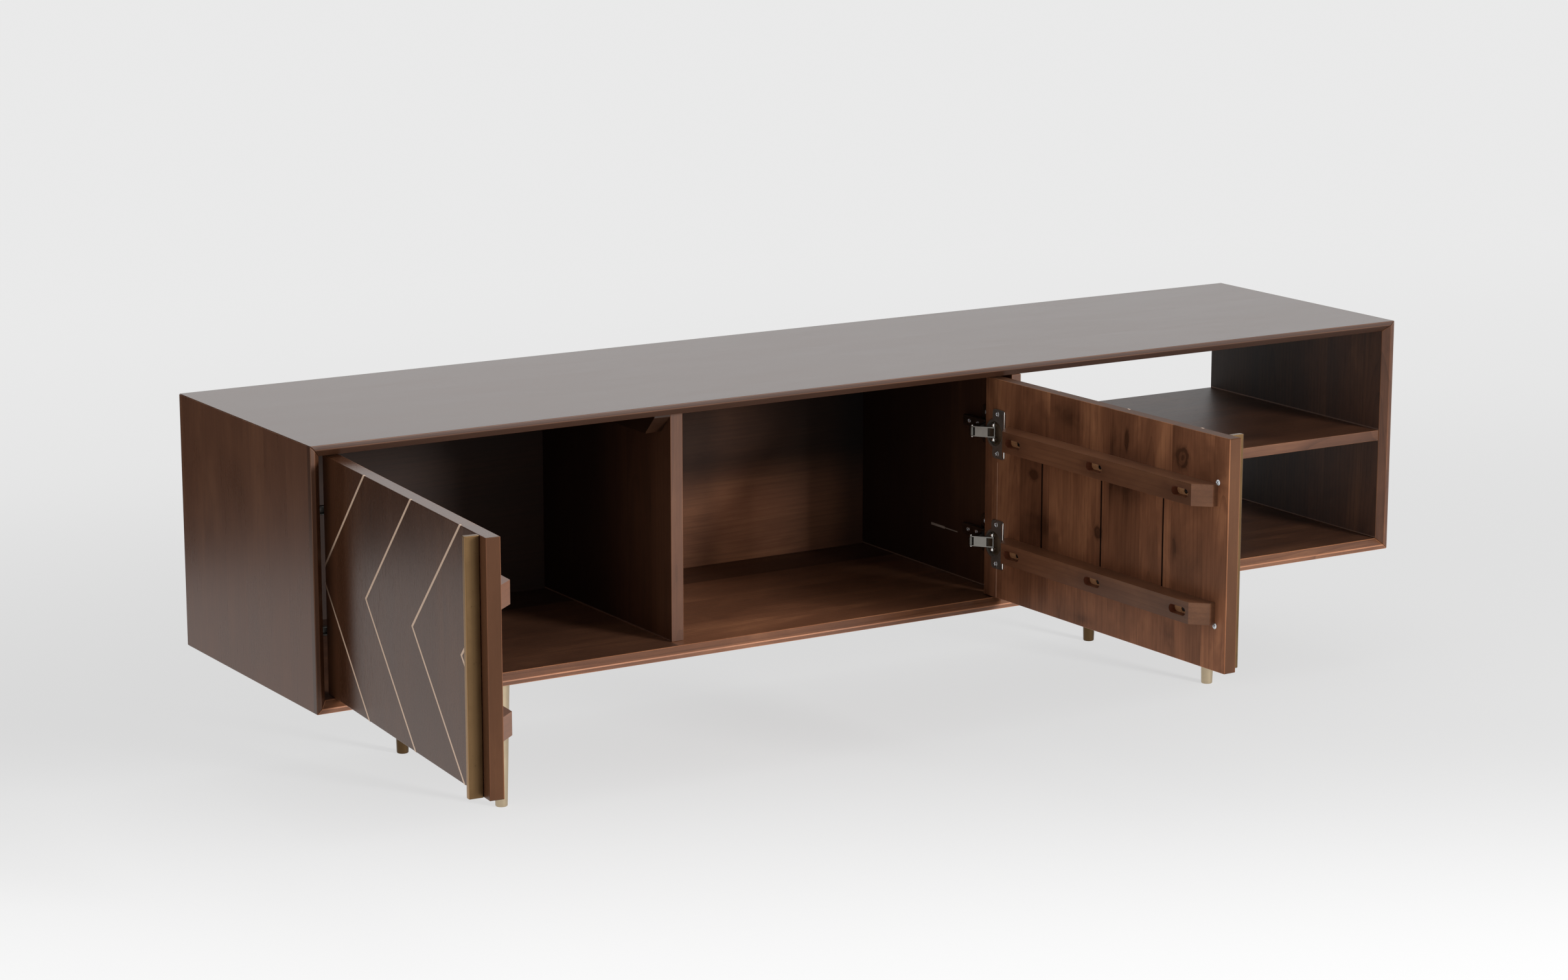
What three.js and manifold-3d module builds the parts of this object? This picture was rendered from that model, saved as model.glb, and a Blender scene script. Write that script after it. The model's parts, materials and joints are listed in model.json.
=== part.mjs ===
// A low media cabinet: a mitred, bevelled wooden carcass on four tapered legs, with two inset
// doors on concealed cup hinges at the left and an open bay with one shelf at the right.
// Millimetres, +Z up. X runs along the front from left to right, Y runs from front to back.
import * as THREE from 'three';
import Module from 'manifold-3d';
import { mergeVertices } from 'three/addons/utils/BufferGeometryUtils.js';

const wasm = await Module();
wasm.setup();

// Carcass
const CARCASS_WIDTH = 1700;
const CARCASS_DEPTH = 400;
const CARCASS_HEIGHT = 335;
const BOARD = 15;
const EDGE_FLAT = 6;
const CLOSED_BAY_WIDTH = 502;
const DIVIDER_THICKNESS = 18;
const PARTITION_THICKNESS = 15;
const SHELF_THICKNESS = 15;
const BACK_THICKNESS = 9;
const BACK_SETBACK = 14;
const GROOVE_DEPTH = 5;
const JOINT_GAP = 0.3;

// Legs
const LEG_HEIGHT = 175;
const LEG_TOP_DIAMETER = 26;
const LEG_FOOT_DIAMETER = 16;
const LEG_INSET_X = 280;
const LEG_INSET_Y = 57;
const LEG_PLATE_SIZE = 50;
const LEG_PLATE_THICKNESS = 3;
const LEG_PLATE_CORNER = 6;
const FOOT_ROUNDING = 1.5;
const SEAT_GAP = 0.2;

// Top cleats, the blocks that hold the divider's head
const CLEAT_WIDTH = 24;
const CLEAT_HEIGHT = 30;
const CLEAT_FRONT = 26;
const CLEAT_LENGTH = 300;
const CLEAT_NOSE = 24;

// Doors
const DOOR_THICKNESS = 18;
const DOOR_SIDE_GAP = 1.5;
const DOOR_MEETING_GAP = 3;
const DOOR_END_GAP = 2;
const STOP_GAP = 1.5;
const LEFT_OPEN_ANGLE = 94.5;
const RIGHT_OPEN_ANGLE = 91.6;
const PLANK_COUNT = 4;
const KERF_WIDTH = 2;
const KERF_DEPTH = 1.5;
const KERF_LAP = 4;

// Door battens
const BATTEN_HEIGHT = 28;
const BATTEN_DEPTH = 27;
const BATTEN_START = 55;
const BATTEN_END_MARGIN = 21;
const BATTEN_NOSE_FLAT = 8;
const BATTEN_SPACING = 152;
const SLOT_LENGTH = 33;
const SLOT_WIDTH = 11;
const SLOT_DEPTH = 10.5;
const SLOT_MARGIN = 41.5;
const SLOT_HOLE_DIAMETER = 8;

// Pulls
const PULL_THICKNESS = 7.5;
const PULL_DEPTH = 18;
const PULL_MARGIN = 16.5;

// Chevron inlay
const INLAY_WIDTH = 3.5;
const INLAY_DEPTH = 2;
const INLAY_FIT = 0.15;
const CHEVRON_FIRST = -12;
const CHEVRON_LAST_INSET = 52;
const CHEVRON_COUNT = 4;

// Cup hinges. A point of a hinge is given by its distance from the bay's wall and from the front.
const HINGE_AXIS_IN = 15.4;
const HINGE_AXIS_BACK = 3.5;
const HINGE_SWING = 94;
const CUP_DIAMETER = 35;
const CUP_DEPTH = 11.5;
const CUP_INSET = 22.5;
const CUP_WALL = 0.8;
const CUP_FIT = 0.2;
const CUP_RIM_WIDTH = 2.5;
const CUP_RIM_THICKNESS = 1.2;
const FLANGE_HEIGHT = 67;
const FLANGE_START = 18;
const FLANGE_END = 45;
const FLANGE_THICKNESS = 1.5;
const FLANGE_CORNER = 5;
const CUP_PIN_INSET = 15.4;
const CUP_PIN_DEPTH = 3;
const CUP_PIN_DRIFT = 1.6;
const ARM_REACH = 38;
const LINK_WIDTH = 14;
const LINK_EYE = 3;
const LINK_TIP = 2.1;
const LINK_WAIST = 0.9;
const LINK_WAIST_SHARE = 0.3;
const LINK_WALL = 1.2;
const LINK_WEB_SHARE = 0.72;
const LINK_PIN_RADIUS = 1.5;
const PIN_CLEARANCE = 0.3;
const PIN_HEAD = 0.8;
const ARM_WALL = 1.5;
const ARM_HEAD_RADIUS = 3.6;
const ARM_LIFT = 9;
const ARM_SKIRT = 4;
const ARM_REAR = 44;
const ARM_BEND = 10;
const ARM_SHOULDER = 4;
const RAIL_LENGTH = 38;
const RAIL_WIDTH = 9.5;
const PLATE_SETBACK = 37;
const PLATE_LENGTH = 20;
const PLATE_HEIGHT = 52;
const PLATE_THICKNESS = 2.5;
const PLATE_CORNER = 6;

// Round shapes
const FINE = 40;
const COARSE = 20;
const CORNER_STEPS = 5;

// Derived levels and planes
const BEVEL = BOARD - EDGE_FLAT;
const INNER_BOTTOM = BOARD;
const INNER_TOP = CARCASS_HEIGHT - BOARD;
const INNER_HEIGHT = INNER_TOP - INNER_BOTTOM;
const DIVIDER_X = BOARD + CLOSED_BAY_WIDTH;
const PARTITION_X = DIVIDER_X + DIVIDER_THICKNESS + CLOSED_BAY_WIDTH;
const OPEN_BAY_X = PARTITION_X + PARTITION_THICKNESS;
const INNER_RIGHT = CARCASS_WIDTH - BOARD;
const DOOR_FRONT = BEVEL;
const DOOR_BACK = DOOR_FRONT + DOOR_THICKNESS;
const DOOR_HEIGHT = INNER_HEIGHT - 2 * DOOR_END_GAP;
const DOOR_BOTTOM = INNER_BOTTOM + DOOR_END_GAP;
const DOOR_MIDDLE = DOOR_BOTTOM + DOOR_HEIGHT / 2;
const DOORWAY_WIDTH = PARTITION_X - BOARD;
const DOOR_WIDTH = (DOORWAY_WIDTH - DOOR_MEETING_GAP) / 2 - DOOR_SIDE_GAP;
const BACK_FACE = CARCASS_DEPTH - BACK_SETBACK - BACK_THICKNESS;
const HINGE_LEVELS = [DOOR_MIDDLE + BATTEN_SPACING / 2, DOOR_MIDDLE - BATTEN_SPACING / 2];
const HINGE_AXIS_Y = DOOR_FRONT + HINGE_AXIS_BACK;

// ---------------------------------------------------------------------------------------------
// Solids

function solid(geometry) {
  const bare = geometry.clone();
  bare.deleteAttribute('normal');
  bare.deleteAttribute('uv');
  const merged = mergeVertices(bare, 1e-4);
  return new wasm.Manifold(new wasm.Mesh({
    numProp: 3,
    vertProperties: new Float32Array(merged.attributes.position.array),
    triVerts: new Uint32Array(merged.index.array),
  }));
}

function geometryOf(body) {
  const mesh = body.getMesh();
  const geometry = new THREE.BufferGeometry();
  geometry.setAttribute('position', new THREE.BufferAttribute(mesh.vertProperties, 3));
  geometry.setIndex(new THREE.BufferAttribute(mesh.triVerts, 1));
  geometry.computeVertexNormals();
  return geometry;
}

function cut(body, ...tools) {
  return tools.reduce((rest, tool) => rest.subtract(tool), body);
}

function join(body, ...others) {
  return others.reduce((whole, other) => whole.add(other), body);
}

// A box from its low corner to its high corner.
function block(low, high) {
  const geometry = new THREE.BoxGeometry(high[0] - low[0], high[1] - low[1], high[2] - low[2]);
  geometry.translate((low[0] + high[0]) / 2, (low[1] + high[1]) / 2, (low[2] + high[2]) / 2);
  return solid(geometry);
}

function shapeOf(points) {
  return new THREE.Shape(points.map(([x, y]) => new THREE.Vector2(x, y)));
}

// A rectangle with rounded corners, centred on a point.
function roundedRectangle(x, y, width, height, radius) {
  const shape = new THREE.Shape();
  const left = x - width / 2;
  const right = x + width / 2;
  const low = y - height / 2;
  const high = y + height / 2;
  shape.moveTo(left + radius, low);
  shape.lineTo(right - radius, low);
  shape.absarc(right - radius, low + radius, radius, -Math.PI / 2, 0);
  shape.lineTo(right, high - radius);
  shape.absarc(right - radius, high - radius, radius, 0, Math.PI / 2);
  shape.lineTo(left + radius, high);
  shape.absarc(left + radius, high - radius, radius, Math.PI / 2, Math.PI);
  shape.lineTo(left, low + radius);
  shape.absarc(left + radius, low + radius, radius, Math.PI, 1.5 * Math.PI);
  return shape;
}

// An outline in the XY plane, raised from z0 to z1.
function raised(shape, z0, z1) {
  const geometry = new THREE.ExtrudeGeometry(shape, {
    depth: z1 - z0, bevelEnabled: false, curveSegments: CORNER_STEPS,
  });
  geometry.translate(0, 0, z0);
  return geometry;
}

// An outline in the YZ plane, run along X from x0 to x1.
function alongX(shape, x0, x1) {
  const geometry = raised(shape, x0, x1);
  geometry.applyMatrix4(new THREE.Matrix4().makeBasis(
    new THREE.Vector3(0, 1, 0), new THREE.Vector3(0, 0, 1), new THREE.Vector3(1, 0, 0)));
  return solid(geometry);
}

// An outline in the ZX plane, run along Y from y0 to y1. Its points are (z, x).
function alongY(shape, y0, y1) {
  const geometry = raised(shape, y0, y1);
  geometry.applyMatrix4(new THREE.Matrix4().makeBasis(
    new THREE.Vector3(0, 0, 1), new THREE.Vector3(1, 0, 0), new THREE.Vector3(0, 1, 0)));
  return solid(geometry);
}

function alongZ(shape, z0, z1) {
  return solid(raised(shape, z0, z1));
}

// A round bar along Z or along Y, from one end to the other.
function barZ(x, y, z0, z1, radius, sides) {
  const geometry = new THREE.CylinderGeometry(radius, radius, z1 - z0, sides);
  geometry.rotateX(Math.PI / 2);
  geometry.translate(x, y, (z0 + z1) / 2);
  return solid(geometry);
}

function barY(x, z, y0, y1, radius, sides) {
  const geometry = new THREE.CylinderGeometry(radius, radius, y1 - y0, sides);
  geometry.translate(x, (y0 + y1) / 2, z);
  return solid(geometry);
}

// The same body on the other side of the plane x = 0.
function mirrored(geometry) {
  const other = geometry.clone();
  other.applyMatrix4(new THREE.Matrix4().makeScale(-1, 1, 1));
  const index = other.index.array;
  for (let i = 0; i < index.length; i += 3) {
    [index[i + 1], index[i + 2]] = [index[i + 2], index[i + 1]];
  }
  other.computeVertexNormals();
  return other;
}

// ---------------------------------------------------------------------------------------------
// Finishes

const walnut = { color: 0x5a4032, roughness: 0.42, metalness: 0 };
const walnutEdge = { color: 0x6f5140, roughness: 0.45, metalness: 0 };
const inside = { color: 0x4a352a, roughness: 0.6, metalness: 0 };
const brass = { color: 0x9a7f55, roughness: 0.35, metalness: 1 };
const paleBrass = { color: 0xc9b18a, roughness: 0.35, metalness: 1 };
const nickel = { color: 0xb9b6b0, roughness: 0.25, metalness: 1 };
const blackSteel = { color: 0x1c1b1a, roughness: 0.5, metalness: 0.6 };

function piece(name, body, finish) {
  const geometry = body instanceof THREE.BufferGeometry ? body : geometryOf(body);
  const mesh = new THREE.Mesh(geometry, new THREE.MeshStandardMaterial(finish));
  mesh.name = name;
  return mesh;
}

// ---------------------------------------------------------------------------------------------
// Carcass

// The edge profile of every outer board, in the plane across the board: (depth, thickness),
// with thickness measured from the outer face to the inner face.
function boardProfile() {
  return [[0, 0], [CARCASS_DEPTH, 0], [CARCASS_DEPTH, BOARD], [BEVEL, BOARD], [0, EDGE_FLAT]];
}

// What lies beyond the mitre at each end of a board: (thickness, length) wedges.
function mitreGap() {
  return JOINT_GAP * Math.SQRT1_2;
}

function lyingBoard(outerZ, inward) {
  const profile = boardProfile().map(([y, t]) => [y, outerZ + inward * t]);
  const ordered = inward > 0 ? profile : profile.reverse();
  const body = alongX(shapeOf(ordered), 0, CARCASS_WIDTH);
  const reach = BOARD + 1;
  const back = CARCASS_DEPTH + 1;
  const g = mitreGap();
  const wedge = (x, side) => {
    const points = [[outerZ - inward, x - side * 2], [outerZ - inward, x - side * (1 - g)],
      [outerZ + inward * reach, x + side * (reach + g)], [outerZ + inward * reach, x - side * 2]];
    return alongY(shapeOf(inward * side > 0 ? points : points.reverse()), -1, back);
  };
  return cut(body, wedge(0, 1), wedge(CARCASS_WIDTH, -1));
}

function standingBoard(outerX, inward) {
  const profile = boardProfile().map(([y, t]) => [outerX + inward * t, y]);
  const ordered = inward > 0 ? profile.reverse() : profile;
  const body = alongZ(shapeOf(ordered), 0, CARCASS_HEIGHT);
  const reach = BOARD + 1;
  const back = CARCASS_DEPTH + 1;
  const g = mitreGap();
  const wedge = (z, side) => {
    const points = [[z - side * 2, outerX - inward], [z - side * (1 - g), outerX - inward],
      [z + side * (reach + g), outerX + inward * reach], [z - side * 2, outerX + inward * reach]];
    return alongY(shapeOf(inward * side > 0 ? points : points.reverse()), -1, back);
  };
  return cut(body, wedge(0, 1), wedge(CARCASS_HEIGHT, -1));
}

// The groove that the back panel stands in, as a tool that is larger than the panel all round.
function backGroove() {
  const low = [BOARD - GROOVE_DEPTH - JOINT_GAP, BACK_FACE - JOINT_GAP / 2,
    INNER_BOTTOM - GROOVE_DEPTH - JOINT_GAP];
  const high = [PARTITION_X + GROOVE_DEPTH + JOINT_GAP, BACK_FACE + BACK_THICKNESS + JOINT_GAP / 2,
    INNER_TOP + GROOVE_DEPTH + JOINT_GAP];
  return block(low, high);
}

function upright(x, thickness, front, back) {
  return block([x, front, INNER_BOTTOM + JOINT_GAP], [x + thickness, back, INNER_TOP - JOINT_GAP]);
}

function cleat() {
  const front = CLEAT_FRONT + STOP_GAP;
  const low = INNER_TOP - JOINT_GAP - CLEAT_HEIGHT;
  const high = INNER_TOP - JOINT_GAP;
  const outline = [[front, high], [front, high - CLEAT_HEIGHT + CLEAT_NOSE], [front + CLEAT_NOSE, low],
    [front + CLEAT_LENGTH, low], [front + CLEAT_LENGTH, high]];
  const right = DIVIDER_X - JOINT_GAP;
  return alongX(shapeOf(outline), right - CLEAT_WIDTH, right);
}

function leg() {
  const foot = LEG_FOOT_DIAMETER / 2;
  const top = LEG_HEIGHT - LEG_PLATE_THICKNESS - 2 * SEAT_GAP;
  const outline = [[0, 0], [foot - FOOT_ROUNDING, 0], [foot, FOOT_ROUNDING],
    [LEG_TOP_DIAMETER / 2, top], [0, top]];
  const geometry = new THREE.LatheGeometry(outline.map(([r, z]) => new THREE.Vector2(r, z)), FINE);
  geometry.rotateX(Math.PI / 2);
  return solid(geometry);
}

function carcass() {
  const group = new THREE.Group();
  const groove = backGroove();
  group.add(piece('top_board', cut(lyingBoard(CARCASS_HEIGHT, -1), groove), walnut));
  group.add(piece('bottom_board', cut(lyingBoard(0, 1), groove), walnut));
  group.add(piece('left_side', cut(standingBoard(0, 1), groove), walnut));
  group.add(piece('right_side', standingBoard(CARCASS_WIDTH, -1), walnut));
  const dividerFront = DOOR_BACK + STOP_GAP;
  group.add(piece('divider',
    upright(DIVIDER_X, DIVIDER_THICKNESS, dividerFront, BACK_FACE - JOINT_GAP), inside));
  const partition = upright(PARTITION_X, PARTITION_THICKNESS, BEVEL, CARCASS_DEPTH);
  group.add(piece('partition', cut(partition, groove), walnutEdge));
  const shelfMiddle = (INNER_BOTTOM + INNER_TOP) / 2;
  group.add(piece('shelf', block(
    [OPEN_BAY_X + JOINT_GAP, BEVEL, shelfMiddle - SHELF_THICKNESS / 2],
    [INNER_RIGHT - JOINT_GAP, CARCASS_DEPTH, shelfMiddle + SHELF_THICKNESS / 2]), walnutEdge));
  group.add(piece('back_panel', block(
    [BOARD - GROOVE_DEPTH, BACK_FACE, INNER_BOTTOM - GROOVE_DEPTH],
    [PARTITION_X + GROOVE_DEPTH, BACK_FACE + BACK_THICKNESS, INNER_TOP + GROOVE_DEPTH]), inside));
  group.add(piece('top_cleat', cleat(), inside));

  const legPlaces = {
    front_left: [LEG_INSET_X, LEG_INSET_Y],
    front_right: [CARCASS_WIDTH - LEG_INSET_X, LEG_INSET_Y],
    rear_left: [LEG_INSET_X, CARCASS_DEPTH - LEG_INSET_Y],
    rear_right: [CARCASS_WIDTH - LEG_INSET_X, CARCASS_DEPTH - LEG_INSET_Y],
  };
  for (const [place, [x, y]] of Object.entries(legPlaces)) {
    const standing = piece(`leg_${place}`, leg(), brass);
    standing.position.set(x, y, -LEG_HEIGHT);
    group.add(standing);
    const outline = roundedRectangle(0, 0, LEG_PLATE_SIZE, LEG_PLATE_SIZE, LEG_PLATE_CORNER);
    const plate = piece(`leg_plate_${place}`,
      alongZ(outline, -LEG_PLATE_THICKNESS, 0), blackSteel);
    plate.position.set(x, y, -SEAT_GAP);
    group.add(plate);
  }
  return group;
}

// ---------------------------------------------------------------------------------------------
// Hinges. All of this is drawn for a door hung on the wall at x = 0, opening towards -Y.

// A point turned about the hinge axis by an angle in degrees, clockwise seen from above.
function swung([x, y], degrees) {
  const turn = THREE.MathUtils.degToRad(-degrees);
  const dx = x - HINGE_AXIS_IN;
  const dy = y - HINGE_AXIS_Y;
  return [HINGE_AXIS_IN + dx * Math.cos(turn) - dy * Math.sin(turn),
    HINGE_AXIS_Y + dx * Math.sin(turn) + dy * Math.cos(turn)];
}

// The link's pin in the cup with the door closed, and with the door swung open.
const CUP_PIN = [DOOR_SIDE_GAP + CUP_PIN_INSET, DOOR_BACK - CUP_PIN_DEPTH];
const CUP_PIN_OPEN = swung(CUP_PIN, HINGE_SWING);

// The arm's pin lies where it is as far from the closed cup pin as from the open one.
const PIN_BEARING = Math.atan2(CUP_PIN[1] - HINGE_AXIS_Y, CUP_PIN[0] - HINGE_AXIS_IN)
  - THREE.MathUtils.degToRad(HINGE_SWING / 2);
const ARM_PIN = [HINGE_AXIS_IN + ARM_REACH * Math.cos(PIN_BEARING),
  HINGE_AXIS_Y + ARM_REACH * Math.sin(PIN_BEARING)];
const LINK_LENGTH = Math.hypot(CUP_PIN[0] - ARM_PIN[0], CUP_PIN[1] - ARM_PIN[1]);
const LINK_CLOSED = Math.atan2(CUP_PIN[1] - ARM_PIN[1], CUP_PIN[0] - ARM_PIN[0]);
const LINK_OPEN = Math.atan2(CUP_PIN_OPEN[1] - ARM_PIN[1], CUP_PIN_OPEN[0] - ARM_PIN[0]);
const LINK_TURN = THREE.MathUtils.euclideanModulo(LINK_OPEN - LINK_CLOSED, 2 * Math.PI);
const LINK_RATIO = THREE.MathUtils.radToDeg(LINK_TURN) / HINGE_SWING;

// The pressed cup with its bolting flange, in the door's own frame: x from the door's hinge
// edge, y from its outer face, z from the hinge's level.
function cup() {
  const outer = CUP_DIAMETER / 2;
  const face = DOOR_THICKNESS + SEAT_GAP;
  const bottom = DOOR_THICKNESS - CUP_DEPTH;
  const shell = barY(CUP_INSET, 0, bottom, face + CUP_RIM_THICKNESS, outer, FINE);
  const rim = barY(CUP_INSET, 0, face, face + CUP_RIM_THICKNESS, outer + CUP_RIM_WIDTH, FINE);
  const middle = (FLANGE_START + FLANGE_END) / 2;
  const outline = roundedRectangle(0, middle, FLANGE_HEIGHT, FLANGE_END - FLANGE_START,
    FLANGE_CORNER);
  const flange = alongY(outline, face, face + FLANGE_THICKNESS);
  const hollow = barY(CUP_INSET, 0, bottom + CUP_WALL, face + FLANGE_THICKNESS + 1,
    outer - CUP_WALL, FINE);
  return cut(join(shell, rim, flange), hollow);
}

// The broad link, a channel drawn with its arm pin at the origin and its cup pin on +X. Its web
// is on +Y and leaves both ends open, its cheeks are waisted to pass the door's edge, and the
// cup pin is riveted into them.
function link() {
  const half = LINK_WIDTH / 2;
  const inner = half - LINK_WALL;
  const cheek = new THREE.Shape();
  cheek.moveTo(0, LINK_EYE);
  cheek.absarc(0, 0, LINK_EYE, Math.PI / 2, 1.6 * Math.PI);
  cheek.lineTo(LINK_LENGTH * LINK_WAIST_SHARE, -LINK_WAIST);
  cheek.lineTo(LINK_LENGTH - 2 * LINK_TIP, -LINK_WAIST);
  cheek.absarc(LINK_LENGTH, 0, LINK_TIP, 1.4 * Math.PI, 2.5 * Math.PI);
  cheek.lineTo(LINK_LENGTH - 2 * LINK_TIP, LINK_EYE);
  const channel = alongZ(cheek, -half, half);
  const low = -LINK_EYE - 1;
  const far = LINK_LENGTH + LINK_EYE;
  const under = block([low, low, -inner], [far, LINK_EYE - LINK_WALL, inner]);
  const atArm = block([low, low, -inner], [ARM_HEAD_RADIUS + 1, LINK_EYE + 1, inner]);
  const atCup = block([LINK_LENGTH * LINK_WEB_SHARE, low, -inner], [far, LINK_EYE + 1, inner]);
  const bore = barZ(0, 0, -half - 1, half + 1, LINK_PIN_RADIUS + PIN_CLEARANCE, COARSE);
  const reach = CUP_DIAMETER / 2 - CUP_WALL;
  const aside = CUP_INSET - CUP_PIN_INSET + CUP_PIN_DRIFT + LINK_PIN_RADIUS;
  const pinHalf = Math.sqrt(reach ** 2 - aside ** 2);
  const pin = barZ(LINK_LENGTH, 0, -pinHalf, pinHalf, LINK_PIN_RADIUS, COARSE);
  return join(cut(channel, under, atArm, atCup, bore), pin);
}

// The arm, a cranked channel with its web towards the bay. It straddles the plate's rail, and
// its solid head carries the pin that the link turns on.
function arm() {
  const [px, py] = ARM_PIN;
  const top = ARM_LIFT + ARM_WALL;
  const screw = DOOR_BACK + PLATE_SETBACK;
  const rear = screw + ARM_REAR;
  const bend = screw - ARM_BEND;
  const cheek = new THREE.Shape();
  cheek.moveTo(top, rear);
  cheek.lineTo(ARM_SKIRT, rear);
  cheek.lineTo(ARM_SKIRT, bend);
  cheek.lineTo(px - 3.5 * ARM_HEAD_RADIUS, py + ARM_HEAD_RADIUS);
  cheek.lineTo(px - ARM_HEAD_RADIUS, py - ARM_HEAD_RADIUS / 2);
  cheek.absarc(px, py, ARM_HEAD_RADIUS, -0.85 * Math.PI, Math.PI / 4);
  cheek.lineTo(px - 1.5 * ARM_HEAD_RADIUS, py + 3.5 * ARM_HEAD_RADIUS);
  cheek.lineTo(top, bend + ARM_WALL);
  const halfHead = LINK_WIDTH / 2 - LINK_WALL - PIN_CLEARANCE;
  const body = alongZ(cheek, -halfHead, halfHead);
  const hollow = alongZ(shapeOf([[ARM_LIFT, rear + 1], [-1, rear + 1], [-1, py - 2 * ARM_HEAD_RADIUS],
    [px - 2 * ARM_HEAD_RADIUS, py - 2 * ARM_HEAD_RADIUS],
    [px - 2 * ARM_HEAD_RADIUS, py + 3 * ARM_HEAD_RADIUS], [ARM_LIFT, bend]]),
  -halfHead + ARM_WALL, halfHead - ARM_WALL);
  const halfRear = halfHead + ARM_WALL;
  const saddle = block([ARM_SKIRT, bend + ARM_SHOULDER, -halfRear], [top, rear, halfRear]);
  const under = block([-1, bend + ARM_SHOULDER - 1, -halfRear + ARM_WALL],
    [ARM_LIFT, rear + 1, halfRear - ARM_WALL]);
  const pinHalf = LINK_WIDTH / 2 + PIN_HEAD;
  const pin = barZ(px, py, -pinHalf, pinHalf, LINK_PIN_RADIUS, COARSE);
  return join(cut(join(cut(body, hollow), saddle), under), pin);
}

// The plate that the arm is screwed to: two wings on the wall, and a rail under the arm.
function mountingPlate() {
  const screw = DOOR_BACK + PLATE_SETBACK;
  const wings = alongX(roundedRectangle(screw, 0, PLATE_LENGTH, PLATE_HEIGHT, PLATE_CORNER),
    SEAT_GAP, SEAT_GAP + PLATE_THICKNESS);
  const front = screw - ARM_BEND + ARM_SHOULDER + PIN_CLEARANCE;
  const rail = block([SEAT_GAP, front, -RAIL_WIDTH / 2],
    [ARM_LIFT - PIN_CLEARANCE, front + RAIL_LENGTH, RAIL_WIDTH / 2]);
  return join(wings, rail);
}

// ---------------------------------------------------------------------------------------------
// Doors, drawn for the left one in its own frame: x from the hinge edge to the free edge, y
// from the outer face to the inner face, z from the bottom edge.

const BATTEN_LEVELS = [1, -1].map((side) => DOOR_HEIGHT / 2 + side * BATTEN_SPACING / 2);
const PULL_X = DOOR_WIDTH - PULL_MARGIN - PULL_THICKNESS;
const CHEVRON_PITCH = (PULL_X - CHEVRON_LAST_INSET - CHEVRON_FIRST) / (CHEVRON_COUNT - 1);

// One half of a chevron, the strip that climbs from the middle to the top edge or falls to the
// bottom edge. Widening it by `fit` on each side makes the cutter for its groove.
function chevronHalf(number, side, fit) {
  const middle = DOOR_HEIGHT / 2;
  const apex = CHEVRON_FIRST + number * CHEVRON_PITCH;
  const half = (INLAY_WIDTH / 2 + fit) * Math.SQRT2;
  const over = fit > 0 ? 1 : 0;
  const run = middle + over;
  const points = [[middle, apex - half], [middle + side * run, apex - half + run],
    [middle + side * run, apex + half + run], [middle, apex + half]];
  const shape = shapeOf(side > 0 ? points.reverse() : points);
  const strip = alongY(shape, over * -1, INLAY_DEPTH + fit);
  const end = PULL_X + over * fit;
  return strip.intersect(block([-over, -2, -2], [end, DOOR_THICKNESS, DOOR_HEIGHT + 2]));
}

function chevron(number, fit) {
  return join(chevronHalf(number, 1, fit), chevronHalf(number, -1, fit));
}

function doorPanel() {
  let panel = block([0, 0, 0], [DOOR_WIDTH, DOOR_THICKNESS, DOOR_HEIGHT]);
  for (let number = 0; number < CHEVRON_COUNT; number += 1) {
    panel = cut(panel, chevron(number, INLAY_FIT));
  }
  const [kerfTop, kerfBottom] = [1, -1].map((side, i) => (
    BATTEN_LEVELS[i] - side * (BATTEN_HEIGHT / 2 - KERF_LAP)));
  for (let plank = 1; plank < PLANK_COUNT; plank += 1) {
    const x = DOOR_WIDTH * plank / PLANK_COUNT;
    panel = cut(panel, block([x - KERF_WIDTH / 2, DOOR_THICKNESS - KERF_DEPTH, kerfBottom],
      [x + KERF_WIDTH / 2, DOOR_THICKNESS + 1, kerfTop]));
  }
  for (const level of BATTEN_LEVELS) {
    panel = cut(panel, barY(CUP_INSET, level, DOOR_THICKNESS - CUP_DEPTH - CUP_FIT,
      DOOR_THICKNESS + 1, CUP_DIAMETER / 2 + CUP_FIT, FINE));
  }
  return panel;
}

// A rail across the inner face, with both ends cut back at 45 degrees. Each of its pockets has a
// screw hole in the middle of the floor, wide enough for the planks to move.
function batten(level) {
  const end = DOOR_WIDTH - BATTEN_END_MARGIN;
  const slope = BATTEN_DEPTH - BATTEN_NOSE_FLAT;
  const face = DOOR_THICKNESS + SEAT_GAP;
  const front = face + BATTEN_DEPTH;
  const outline = [[BATTEN_START, face], [end, face], [end, face + BATTEN_NOSE_FLAT],
    [end - slope, front], [BATTEN_START + slope, front],
    [BATTEN_START, face + BATTEN_NOSE_FLAT]];
  let body = alongZ(shapeOf(outline), level - BATTEN_HEIGHT / 2, level + BATTEN_HEIGHT / 2);
  for (const x of [BATTEN_START + SLOT_MARGIN, (BATTEN_START + end) / 2, end - SLOT_MARGIN]) {
    const slot = roundedRectangle(level, x, SLOT_WIDTH, SLOT_LENGTH, SLOT_WIDTH / 2 - 0.01);
    body = cut(body, alongY(slot, front - SLOT_DEPTH, front + 1));
    body = cut(body, barY(x, level, face - 1, front, SLOT_HOLE_DIAMETER / 2, COARSE));
  }
  return body;
}

function pull() {
  return block([PULL_X, -SEAT_GAP - PULL_DEPTH, 0], [PULL_X + PULL_THICKNESS, -SEAT_GAP, DOOR_HEIGHT]);
}

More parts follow.
